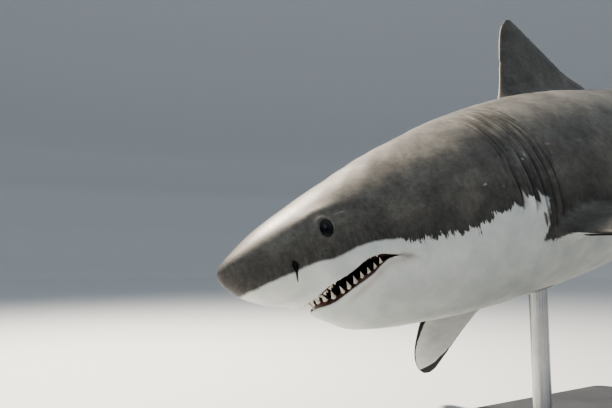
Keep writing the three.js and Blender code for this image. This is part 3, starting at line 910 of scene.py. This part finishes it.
# Grey: clouded, darker in a band along the line
clouds = add(hide, "TexNoise", {"Vector": where, "Scale": 9.0, "Detail": 5.0, "Roughness": 0.6})
grain = add(hide, "TexNoise", {"Vector": where, "Scale": 150.0, "Detail": 3.0, "Roughness": 0.7})
grey = add(hide, "ValToRGB", {"Fac": clouds}, stops=((0.34, "#464542"), (0.68, "#63615c")))
near_line = add(hide, "MapRange", (wander, 0.0, 0.1, 1.0, 0.0))
streaks = add(hide, "MapRange", (spikes, 0.36, 0.62, 0.35, 1.0))
near_streaked = add(hide, "Math", (near_line, streaks), operation="MULTIPLY")
grey_dark = add(hide, "MixRGB", (near_streaked, grey, linear("#353534")))
grain_strength = add(hide, "MapRange", (grain, 0.3, 0.7, 0.86, 1.12))
mottle = add(hide, "TexNoise", {
    "Vector": where, "Scale": 48.0, "Detail": 5.0, "Roughness": 0.68, "Distortion": 0.4,
})
mottle_strength = add(hide, "MapRange", (mottle, 0.34, 0.66, 0.8, 1.2))
mottled = add(hide, "Math", (mottle_strength, grain_strength), operation="MULTIPLY")
grey_grained = add(hide, "MixRGB", (1.0, grey_dark, mottled), blend_type="MULTIPLY")

# White: bluish cream, a little stained
pale = add(hide, "ValToRGB", {"Fac": clouds}, stops=((0.3, "#b3b9b8"), (0.7, "#d0d2cd")))

# Painted light and shade on the pleats: fine lighter and darker lines along them, about 6 mm apart
pleat_turn = add(hide, "CombineXYZ", (ring_at, (in_layout, "Y"), (in_layout, "Z")))
pleat_long = add(hide, "Mapping", {"Vector": pleat_turn, "Scale": (160, 7, 7)})
pleat_lines = add(hide, "TexNoise", {"Vector": pleat_long, "Scale": 1.0, "Detail": 3.0, "Roughness": 0.6})
pleat_light_and_shade = add(hide, "MapRange", (pleat_lines, 0.32, 0.68, 0.5, 1.7))
pleat_lit_and_shaded_grey = add(hide, "MixRGB", (1.0, grey_grained, pleat_light_and_shade), blend_type="MULTIPLY")
pleat_fade = add(hide, "Math", (pleat_at, 0.85), operation="MULTIPLY")
grey_pleated = add(hide, "MixRGB", (pleat_fade, grey_grained, pleat_lit_and_shaded_grey))

stain_deep = add(hide, "Math", (stain_at, mottle_strength), operation="MULTIPLY")
stain_fade = add(hide, "Math", (stain_deep, 0.42), operation="MULTIPLY")
pale_stained = add(hide, "MixRGB", (stain_fade, pale, linear("#9c8880")))
two_tone = add(hide, "MixRGB", (upper_side, pale_stained, grey_pleated))
edge_wander = add(hide, "Math", (blotch_size, 0.18, edge_at), operation="MULTIPLY_ADD")
edge_mask = add(hide, "MapRange", (edge_wander, -0.06, 0.06), interpolation_type="SMOOTHSTEP")
tipped = add(hide, "MixRGB", (edge_mask, two_tone, linear("#15171a")))

# Pores on the head, a few millimetres across
pores = add(hide, "TexVoronoi", {"Vector": where, "Scale": 62.0, "Randomness": 1.0})
pore_pick = add(hide, "TexNoise", {"Vector": where, "Scale": 17.0, "Detail": 1.0})
head_fade = add(hide, "MapRange", ((in_layout, "X"), 0.36, 0.9, 1.0, 0.5))
pore_size = add(hide, "MapRange", (pores, 0.1, 0.2, 1.0, 0.0))
pore_chance = add(hide, "MapRange", (pore_pick, 0.5, 0.62))
pore_here = add(hide, "Math", (pore_size, pore_chance), operation="MULTIPLY")
pore_side = add(hide, "MapRange", (upper_side, 0.0, 1.0, 0.3, 1.0))
pore_part = add(hide, "Math", (head_fade, pore_side), operation="MULTIPLY")
pore_fade = add(hide, "Math", (pore_here, pore_part), operation="MULTIPLY")
pore_dark = add(hide, "Math", (pore_fade, 0.6), operation="MULTIPLY")
pored = add(hide, "MixRGB", (pore_dark, tipped, linear("#2a2a29")))
# The five largest: place in the layout, and radius in millimetres
for x, y, z, radius in (
    (6.05, -4.17, -1.0, 3.4), (5.75, -3.99, -1.25, 3.2), (5.62, -3.95, -1.1, 2), (3.99, -3.2, -0.9, 2),
    (4.2, -3.4, -0.2, 1.8),
):
    spot = Vector((x, y, z)) * percent
    to_spot = add(hide, "VectorMath", (where, spot), operation="DISTANCE")
    in_spot = add(hide, "MapRange", ((to_spot, "Value"), radius * 0.0006, radius * 0.0012, 0.75, 0.0))
    pored = add(hide, "MixRGB", (in_spot, pored, linear("#1c1c1c")))

# Scars of the left flank: station, angle, half sizes in millimetres along, across and up, colour
for station_of, angle, sizes, colour in (
    (24.2, 10.5, (5, 10, 13), "#b0b5b7"),
    (23.8, 9, (8, 10, 6), "#b4b9bb"),
    (22.6, 9, (9, 12, 8), "#7d8084"),
    (27.5, 13, (16, 14, 6), "#8f7a72"),
    (20.7, -0.5, (6, 10, 7), "#8c6f62"),
    (19.1, 2.5, (10, 10, 6), "#a39a98"),
    (8.0, 16, (30, 20, 3), "#85827c"),
    (7.1, 7.5, (4, 12, 16), "#7e7a74"),
    (17.2, 9, (5, 10, 24), "#716f6a"),
    (31.5, 10, (30, 20, 5), "#6e6c67"),
    (36.0, -6, (5, 10, 28), "#706e69"),
):
    middle = Vector(body_point(station_of, angle)) * percent
    from_middle = add(hide, "VectorMath", (where, middle), operation="SUBTRACT")
    shrunk = add(hide, "VectorMath", (from_middle, [1000 / size for size in sizes]), operation="MULTIPLY")
    reach_of = add(hide, "VectorMath", (shrunk,), operation="LENGTH")
    torn = add(hide, "Math", (grain, 4.0, (reach_of, "Value")), operation="MULTIPLY_ADD")
    in_scar = add(hide, "MapRange", (torn, 2.2, 3.0, 0.75, 0.0))
    pored = add(hide, "MixRGB", (in_scar, pored, linear(colour)))
# Mouth lining: pale flesh at the lips, darker deeper in, partly its own colour and partly painted shade
lining_and_inner_shade = add(hide, "ValToRGB", {"Fac": mouth_at}, stops=((0.1, "#a98f88"), (0.9, "#3f2c2a")))
lip_mask = add(hide, "MapRange", (mouth_at, 0.05, 0.45))
mouthed = add(hide, "MixRGB", (lip_mask, pored, lining_and_inner_shade))
# Painted shade: creases, gill slits, eye sockets and nostrils turn near black
shadowed = add(hide, "MixRGB", (painted_shade_at, mouthed, linear("#1d1e1f")))

# Fine hide grain, drawn 3 mm coarse so that it shows
bump_height = add(hide, "Math", (grain, clouds), operation="ADD")
bump = add(hide, "Bump", {"Height": bump_height, "Strength": 0.26, "Distance": 0.0012})
rough = add(hide, "MapRange", (grain, 0.3, 0.7, 0.4, 0.56))
rougher = add(hide, "Math", (edge_mask, 0.25, rough), operation="MULTIPLY_ADD")
surface = add(hide, "BsdfPrincipled", {
    "Base Color": shadowed,
    "Roughness": rougher,
    "IOR": 1.45,
    "Specular IOR Level": 0.28,
    "Normal": bump,
})
add(hide, "OutputMaterial", {"Surface": surface})
skin.data.materials.clear()
skin.data.materials.append(hide)

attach(skin, "root")
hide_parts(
    "head", "lower_jaw", "gill_region", "trunk", "tail", "tail_stalk", "first_dorsal_fin",
    "second_dorsal_fin", "anal_fin", "pectoral_fin_left", "pectoral_fin_right", "pelvic_fin_left",
    "pelvic_fin_right", "tail_fin_upper_lobe", "tail_fin_lower_lobe",
)

# ---------- Gums and tongue ----------
# Moist flesh inside the lips, modelled in resin along each jaw. It carries the teeth, swells round
# every one, and thins out towards the mouth's corners. The tongue lies low between the jaws.

tooth_pitch = 0.83
tooth_shrink = 0.945


def tooth_runs(count):
    """Distances from the front of the jaw to each tooth, and the room that each has."""
    runs, room = [], []
    run, pitch = tooth_pitch / 2, tooth_pitch
    for _ in range(count):
        runs.append(run)
        room.append(pitch)
        run += pitch * (1 + tooth_shrink) / 2
        pitch *= tooth_shrink
    return np.array(runs), np.array(room)


def gum(name, column, up, tall, foot, inset, count):
    runs, room = tooth_runs(count)
    steps, whole = round_the_mouth(column, 150)
    rings = []
    for run, spot, outward, side in steps:
        fade = 1 - ease(whole * 0.5, whole * 0.9, run)
        near = np.exp(-(((run - runs) / (room * 0.3)) ** 2)).sum()
        swell = (0.84 + 0.24 * near + 0.03 * math.sin(run * 23 + side)) * (0.25 + 0.75 * fade)
        height = (tall - foot) * swell
        profile = [
            (-1, foot - 4), (0, foot), (-0.8, foot + height * 0.25), (-2, foot + height * 0.5),
            (-4, foot + height * 0.8), (-7.5, foot + height), (-12, foot + height * 1.03),
            (-17, foot + height * 0.9), (-22, foot + height * 0.5), (-26, foot), (-25, foot - 4),
        ]
        reach = 0.45 + 0.55 * fade
        rings.append([
            spot + outward * (a - inset) * mm * reach + np.array([0, 0, up]) * b * mm for a, b in profile
        ])
    points, faces = closed_loft(rings)
    return piece(name, place(points), faces)


tongue_rings = []
for t in np.linspace(0.02, 0.98, 36):
    girth = math.sin(math.pi * t) ** 0.5
    side, dome = np.cos(circle(40)), np.sin(circle(40))
    groove = 0.09 * hump(side, 0, 0.2) * (dome > 0)
    tongue_rings.append(np.stack([
        6.9 + 6.2 * t + 0.5 * (1 - side**2) * (t - 0.5),
        1.9 * girth * side * (0.62 + 0.38 * t),
        -4.32 - 0.45 * t + 0.62 * girth * np.sign(dome) * np.abs(dome) ** 0.8 - groove,
    ], -1))
tongue_points, tongue_faces = closed_loft(tongue_rings)
tongue = piece("tongue", place(tongue_points), tongue_faces)
upper_gum = gum("upper_gum", 1, -1, -7, -16, 17, 12)
lower_gum = gum("lower_gum", 2, 1, 22, -2, 14, 10)

# Resin painted as flesh: brownish pink, mottled, wet
flesh = blank("painted_resin_gum")
flesh_place = (add(flesh, "TexCoord"), "Object")
flesh_cloud = add(flesh, "TexNoise", {
    "Vector": flesh_place, "Scale": 55.0, "Detail": 4.0, "Roughness": 0.65,
})
flesh_colour = add(flesh, "ValToRGB", {"Fac": flesh_cloud}, stops=((0.34, "#33221f"), (0.68, "#6a4943")))
flesh_bump = add(flesh, "Bump", {"Height": flesh_cloud, "Strength": 0.5, "Distance": 0.002})
flesh_surface = add(flesh, "BsdfPrincipled", {
    "Base Color": flesh_colour,
    "Roughness": 0.34,
    "IOR": 1.4,
    "Normal": flesh_bump,
})
add(flesh, "OutputMaterial", {"Surface": flesh_surface})
for made in (upper_gum, lower_gum, tongue):
    made.data.materials.append(flesh)
    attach(made, "root")

# ---------- Teeth ----------
# Serrated blades, broad in the upper jaw and slender in the lower one, with a spare row lying behind.
# Each is cast in resin and set in the gum.

# A tooth's cross-section: places across, and out of the mouth
tooth_section = [
    (-1, 0), (-0.72, 0.42), (-0.36, 0.78), (0, 0.9), (0.36, 0.78), (0.72, 0.42),
    (1, 0), (0.72, -0.22), (0.36, -0.32), (0, -0.36), (-0.36, -0.32), (-0.72, -0.22),
]


def tooth(wide, tall, thick, root_tall=0.22):
    """One blade on its own: x across, y out of the mouth, z up. Rows climb from the root to the tip."""
    rows = 15
    rings = []
    for i in range(rows + 1):
        u = i / rows
        height = -root_tall + (tall + root_tall) * u
        blade = min(max(height, 0) / tall, 1)
        narrowing = (1 - blade) ** 0.86 if height > 0 else 1 - 0.12 * (height / root_tall) ** 2
        half = wide / 2 * max(narrowing, 0.02) * (1 + 0.16 * math.exp(-((blade / 0.12) ** 2)))
        saw = 0.012 * wide * (-1) ** i if 0.05 < blade < 0.95 else 0
        belly = thick * (0.25 + 0.75 * narrowing)
        rings.append([
            (across * (half + saw * (abs(across) == 1)), out * belly, height)
            for across, out in tooth_section
        ])
    return closed_loft(rings)


sharp_from = math.radians(40)


def tooth_row(name, column, up, count, shape, inset, rise, lean_front, lean_side, scale=1.0):
    """A row of teeth along a lip. Leans are degrees outward at the front and at the side."""
    runs, room = tooth_runs(count)
    spots, outward, whole = along_lip(lip_line(column), runs)
    vertical = np.array([0, 0, up])
    parts = []
    for i in range(count):
        points, faces = tooth(*(room[i] * scale * size for size in shape))
        lean = lean_front + (lean_side - lean_front) * min(1, runs[i] / whole * 2.2)
        tilt = math.radians(lean + 5 * math.sin(i * 2.3))
        fade = 1 - ease(whole * 0.55, whole, runs[i])
        height = rise * (0.2 + 0.8 * fade)
        for mirror in ([1, -1, 1], [1, 1, 1]):
            out = outward[i] * mirror
            axis_up = vertical * math.cos(tilt) + out * math.sin(tilt)
            axis_out = out * math.cos(tilt) - vertical * math.sin(tilt)
            axes = np.array([np.cross(axis_up, axis_out), axis_out, axis_up])
            foot = spots[i] * mirror - out * inset * (0.5 + 0.5 * fade) * mm + vertical * height * mm
            inside_out = np.linalg.det(axes) < 0
            parts.append((foot + points @ axes, [face[::-1] for face in faces] if inside_out else faces))
    points, faces = joined(parts)
    made = piece(name, place(points), faces)
    select_only(made)
    bpy.ops.object.shade_smooth_by_angle(angle=sharp_from)
    return made


# Width, height and thickness, as shares of the room that a tooth has
broad = (0.84, 0.72, 0.13)
slender = (0.5, 0.76, 0.13)
rows_of_teeth = [
    tooth_row("upper_teeth", 1, -1, 12, broad, 27, -18, -24, -32),
    tooth_row("upper_spare_teeth", 1, -1, 9, broad, 36, -12, -60, -66, 0.8),
    tooth_row("lower_teeth", 2, 1, 10, slender, 18, 15, 34, 10),
    tooth_row("lower_spare_teeth", 2, 1, 8, slender, 27, 10, -35, -50, 0.85),
]

# Enamel cast in resin: ivory, glossy, clouded yellower in places
enamel = blank("cast_resin_enamel")
enamel_place = (add(enamel, "TexCoord"), "Object")
enamel_cloud = add(enamel, "TexNoise", {"Vector": enamel_place, "Scale": 120.0, "Detail": 3.0})
enamel_colour = add(enamel, "ValToRGB", {"Fac": enamel_cloud}, stops=((0.35, "#b9b29e"), (0.6, "#dad6c9")))
enamel_surface = add(enamel, "BsdfPrincipled", {
    "Base Color": enamel_colour,
    "Roughness": 0.22,
    "IOR": 1.55,
})
add(enamel, "OutputMaterial", {"Surface": enamel_surface})
for made in rows_of_teeth:
    made.data.materials.append(enamel)
    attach(made, "root")

# ---------- Eyes ----------
# Glass eyes, almost black all over, with a faint blue-grey ring round the pupil. Each is set in its
# socket from behind, so only its cap shows.

# Glass over paint: the colour goes by the angle from the middle of the pupil
glass = blank("painted_glass_eye")
from_pupil = (add(glass, "Attribute", attribute_name="from_pupil"), "Fac")
eye_colour = add(glass, "ValToRGB", {"Fac": from_pupil}, stops=(
    (0.3, "#050607"), (0.36, "#14191d"), (0.56, "#0f1215"), (0.68, "#0b0c0e"),
))
eye_surface = add(glass, "BsdfPrincipled", {
    "Base Color": eye_colour,
    "Roughness": 0.16,
    "IOR": 1.45,
    "Specular IOR Level": 0.28,
})
add(glass, "OutputMaterial", {"Surface": eye_surface})

for name, (middle, fore, level, normal) in eyes.items():
    centre = Vector(place([middle])[0])
    axes = place(middle + np.array([fore, level, normal])) - np.array(centre)
    axes = Matrix((axes / np.linalg.norm(axes, axis=1)[:, None]).T.tolist())
    bpy.ops.object.select_all(action="DESELECT")
    bpy.ops.mesh.primitive_uv_sphere_add(
        segments=64, ring_count=40, radius=eye_radius * percent, location=centre,
        rotation=axes.to_euler(), scale=(eye_long, eye_tall, 1),
    )
    eye = bpy.context.object
    eye.name = "glass_eye_" + name
    bpy.ops.object.shade_smooth()
    bpy.ops.object.transform_apply(location=True, rotation=True, scale=True)
    away = (vertices(eye.data) - np.array(centre)) @ np.array(axes) / (eye_radius * percent)
    layer = eye.data.attributes.new("from_pupil", "FLOAT", "POINT")
    layer.data.foreach_set("value", np.arccos(np.clip(away[:, 2], -1, 1)).astype(np.float32))
    eye.data.materials.append(glass)
    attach(eye, "root")
    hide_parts("eye_" + name)

# ---------- Stand: base plate ----------
# A steel plate lies flat on the floor and carries the whole shark. Its corners are rounded, its
# edges broken by a grinder, and it is powder-coated charcoal.

plate_long = 1.9
plate_wide = 1.0
plate_thick = 0.03


def applied(made, name):
    made.name = name
    bpy.ops.object.transform_apply(location=True, rotation=True, scale=True)
    return made


def edit_with(kind, parts, wanted):
    """Goes to edit mode with only those parts of a mesh selected that pass a test."""
    bpy.ops.object.mode_set(mode="EDIT")
    bpy.ops.mesh.select_mode(type=kind)
    bpy.ops.mesh.select_all(action="DESELECT")
    bpy.ops.object.mode_set(mode="OBJECT")
    for part in parts:
        part.select = wanted(part)
    bpy.ops.object.mode_set(mode="EDIT")


def heights(edge):
    return [base.data.vertices[i].co.z for i in edge.vertices]


bpy.ops.object.select_all(action="DESELECT")
bpy.ops.mesh.primitive_cube_add(
    size=1, location=(0, 0, plate_thick / 2), scale=(plate_long, plate_wide, plate_thick),
)
base = applied(bpy.context.object, "base_plate")
edit_with("EDGE", base.data.edges, lambda edge: max(heights(edge)) - min(heights(edge)) > 0.02)
bpy.ops.mesh.bevel(offset=0.09, segments=20, affect="EDGES")
bpy.ops.object.mode_set(mode="OBJECT")
edit_with("EDGE", base.data.edges, lambda edge: min(heights(edge)) > plate_thick - 0.001)
bpy.ops.mesh.bevel(offset=0.005, segments=4, affect="EDGES")
bpy.ops.object.mode_set(mode="OBJECT")
bpy.ops.object.shade_smooth_by_angle(angle=sharp_from)

# Powder coat over blasted steel: satin, with a fine orange-peel texture drawn 4 mm coarse
coat = blank("charcoal_powder_coat")
coat_place = (add(coat, "TexCoord"), "Object")
coat_peel = add(coat, "TexNoise", {"Vector": coat_place, "Scale": 240.0, "Detail": 2.0})
coat_cloud = add(coat, "TexNoise", {"Vector": coat_place, "Scale": 3.0, "Detail": 5.0, "Roughness": 0.6})
coat_colour = add(coat, "ValToRGB", {"Fac": coat_cloud}, stops=((0.35, "#35373a"), (0.68, "#3f4144")))
coat_rough = add(coat, "MapRange", (coat_cloud, 0.3, 0.7, 0.4, 0.54))
coat_bump = add(coat, "Bump", {"Height": coat_peel, "Strength": 0.3, "Distance": 0.0006})
coat_surface = add(coat, "BsdfPrincipled", {
    "Base Color": coat_colour,
    "Roughness": coat_rough,
    "IOR": 1.5,
    "Normal": coat_bump,
})
add(coat, "OutputMaterial", {"Surface": coat_surface})
base.data.materials.append(coat)
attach(base, "root")
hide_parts("stand_base")

# ---------- Stand: rods, flanges and saddles ----------
# Two brushed steel tubes are welded into flanges, which six socket screws hold to the plate. On
# top, a curved saddle plate follows the belly and is bolted to the armature inside the skin.

# Steel brushed along the tube, 3 mm between the marks so that they show
steel = blank("brushed_stainless_steel")
steel_place = (add(steel, "TexCoord"), "Object")
steel_grain = add(steel, "Mapping", {"Vector": steel_place, "Scale": (330, 330, 6)})
steel_marks = add(steel, "TexNoise", {"Vector": steel_grain, "Scale": 1.0, "Detail": 3.0, "Roughness": 0.6})
steel_cloud = add(steel, "TexNoise", {"Vector": steel_place, "Scale": 7.0, "Detail": 4.0})
steel_mix = add(steel, "Math", (steel_marks, steel_cloud), operation="ADD")
steel_colour = add(steel, "MapRange", (steel_mix, 0.7, 1.3, 0.0, 1.0))
steel_tint = add(steel, "ValToRGB", {"Fac": steel_colour}, stops=((0, "#a9abad"), (1, "#d4d5d5")))
steel_rough = add(steel, "MapRange", (steel_marks, 0.3, 0.7, 0.24, 0.4))
steel_bump = add(steel, "Bump", {"Height": steel_marks, "Strength": 0.25, "Distance": 0.0004})
steel_surface = add(steel, "BsdfPrincipled", {
    "Base Color": steel_tint,
    "Metallic": 1.0,
    "Roughness": steel_rough,
    "Normal": steel_bump,
})
add(steel, "OutputMaterial", {"Surface": steel_surface})


def belly_over(x, y):
    """The height of the skin straight above a place on the floor."""
    return skin.ray_cast(Vector((x, y, 0.1)), Vector((0, 0, 1)))[1].z


def bevelled(made, width, segments):
    change = made.modifiers.new("edge", "BEVEL")
    change.width = width
    change.segments = segments
    change.limit_method = "ANGLE"
    bpy.ops.object.modifier_apply(modifier=change.name)
    bpy.ops.object.shade_smooth_by_angle(angle=sharp_from)


rod_middle = 0.2446
weld_height = 0.0455
screw_circle = 0.082
screw_height = 0.0488
saddle_section = [
    # radius, and depth below the skin
    (0.004, 0.0005), (0.02, 0.0005), (0.036, 0.0005), (0.05, 0.0005), (0.0605, 0.0006), (0.062, 0.0018),
    (0.0625, 0.0035), (0.062, 0.0052), (0.0605, 0.0064), (0.05, 0.0065), (0.036, 0.0065), (0.004, 0.0065),
]
for place_name, x, y in (("front", -0.335, -0.033), ("rear", 0.660, -0.062)):
    # Tube: its top is cut to the saddle's slope
    bpy.ops.object.select_all(action="DESELECT")
    bpy.ops.mesh.primitive_cylinder_add(
        vertices=96, radius=0.038, depth=0.4, end_fill_type="TRIFAN", location=(x, y, rod_middle),
    )
    rod = applied(bpy.context.object, "rod_" + place_name)
    for vertex in rod.data.vertices:
        if vertex.co.z > rod_middle:
            vertex.co.z = belly_over(vertex.co.x, vertex.co.y) - 0.0035
    bpy.ops.object.shade_smooth_by_angle(angle=sharp_from)

    # Flange: a turned disc, bevelled at the rim, with a weld bead round the tube
    bpy.ops.object.select_all(action="DESELECT")
    bpy.ops.mesh.primitive_cylinder_add(vertices=128, radius=0.105, depth=0.0142, location=(x, y, 0.0372))
    flange = applied(bpy.context.object, "flange_" + place_name)
    bevelled(flange, 0.0025, 4)
    bpy.ops.object.select_all(action="DESELECT")
    bpy.ops.mesh.primitive_torus_add(
        major_radius=0.0395, minor_radius=0.0055, major_segments=128, minor_segments=16,
        location=(x, y, weld_height),
    )
    bead = applied(bpy.context.object, "weld_bead_" + place_name)
    rippled = vertices(bead.data)
    turn_at = np.arctan2(rippled[:, 1] - y, rippled[:, 0] - x)
    rippled[:, 2] += 0.0005 * np.sin(turn_at * 46) * (rippled[:, 2] > weld_height)
    move_vertices(bead.data, rippled)
    bpy.ops.object.shade_smooth()

    # Saddle: a dished disc 6 mm thick, pressed to the belly's curve
    rings = []
    for radius, drop in saddle_section:
        around_rod = [(x + radius * math.cos(t), y + radius * math.sin(t)) for t in circle(72)]
        rings.append([(u, v, belly_over(u, v) - drop) for u, v in around_rod])
    saddle = piece("saddle_" + place_name, *closed_loft(rings))

    # Screws: M12 socket heads, one modelled and copied round
    bpy.ops.object.select_all(action="DESELECT")
    bpy.ops.mesh.primitive_cylinder_add(
        vertices=48, radius=0.009, depth=0.009, location=(x + screw_circle, y, screw_height),
    )
    screw = applied(bpy.context.object, "screw_" + place_name)
    edit_with("FACE", screw.data.polygons, lambda face: face.normal.z > 0.9 and face.center.z > 0.05)
    bpy.ops.mesh.inset(thickness=0.0035, depth=0)
    bpy.ops.mesh.inset(thickness=0.0002, depth=-0.005)
    bpy.ops.object.mode_set(mode="OBJECT")
    bevelled(screw, 0.0008, 2)
    screws = [screw]
    rod_axis = Matrix.Translation((x, y, 0))
    for number in range(1, 6):
        turned = Matrix.Rotation(math.radians(60 * number), 4, "Z")
        another = screw.copy()
        another.data = screw.data.copy()
        another.data.transform(rod_axis @ turned @ rod_axis.inverted())
        another.name = "screw_" + place_name + "_" + str(number + 1)
        bpy.context.scene.collection.objects.link(another)
        screws.append(another)
    for made in [rod, flange, bead, saddle] + screws:
        made.data.materials.append(steel)
        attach(made, "root")
    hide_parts("stand_rod_" + place_name)
    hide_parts("stand_flange_" + place_name)

# ---------- Floor, backdrop and light ----------
# A plain pale studio floor curves up into a plain wall all round. A warm key light hangs high
# beyond the shark and rakes its back, and a weak cool one fills in from the camera's side.

# Its section: distances from the middle and heights. It lies 1 mm below the base plate.
floor_drop = 0.001
sweep_radii = [0, 14, 18, 20.5, 22.6, 24.2, 25.2, 25.6, 25.7]
sweep_heights = [0, 0, 0, 0.25, 1.0, 2.3, 4.0, 6.0, 15.5]
steps_round = 128
corners = np.arange(len(sweep_radii))
sweep = []
for t in np.linspace(0, corners[-1], 70)[1:]:
    radius = np.interp(t, corners, sweep_radii)
    height = np.interp(t, corners, sweep_heights) - floor_drop
    turn = circle(steps_round)
    sweep.append(np.stack(np.broadcast_arrays(radius * np.cos(turn), radius * np.sin(turn), height), -1))
here = np.arange(len(sweep) * steps_round).reshape(-1, steps_round)
beside = np.roll(here, -1, 1)
sweep_faces = np.stack([here[:-1], here[1:], beside[1:], beside[:-1]], -1).reshape(-1, 4).tolist()
sweep_faces.append(here[0].tolist())
floor = piece("studio_sweep", np.concatenate(sweep), sweep_faces)
plain = blank("pale_studio_paint")
floor_surface = add(plain, "BsdfPrincipled", {"Base Color": linear("#b4b7ba"), "Roughness": 0.85})
add(plain, "OutputMaterial", {"Surface": floor_surface})
floor.data.materials.append(plain)

world = bpy.data.worlds.new("studio")
world.use_nodes = True
world.node_tree.nodes["Background"].inputs["Color"].default_value = linear("#dfe6ec")
world.node_tree.nodes["Background"].inputs["Strength"].default_value = 0.85
bpy.context.scene.world = world


def softbox(name, location, aim, size, power, colour):
    bpy.ops.object.light_add(type="AREA", location=location)
    made = bpy.context.object
    made.name = name
    made.rotation_euler = (Vector(aim) - Vector(location)).to_track_quat("-Z", "Y").to_euler()
    made.data.shape = "DISK"
    made.data.size = size
    made.data.energy = power
    made.data.color = linear(colour)[:3]


softbox("key_light", (-2.2, 4.3, 6.6), (-0.2, 0, 0.9), 1.6, 2400, "#fff1de")
softbox("fill_light", (-4.0, -3.2, 4.9), (-0.8, 0, 1.0), 3.0, 45, "#e6f0ff")
bpy.context.scene.view_settings.look = "AgX - Medium High Contrast"
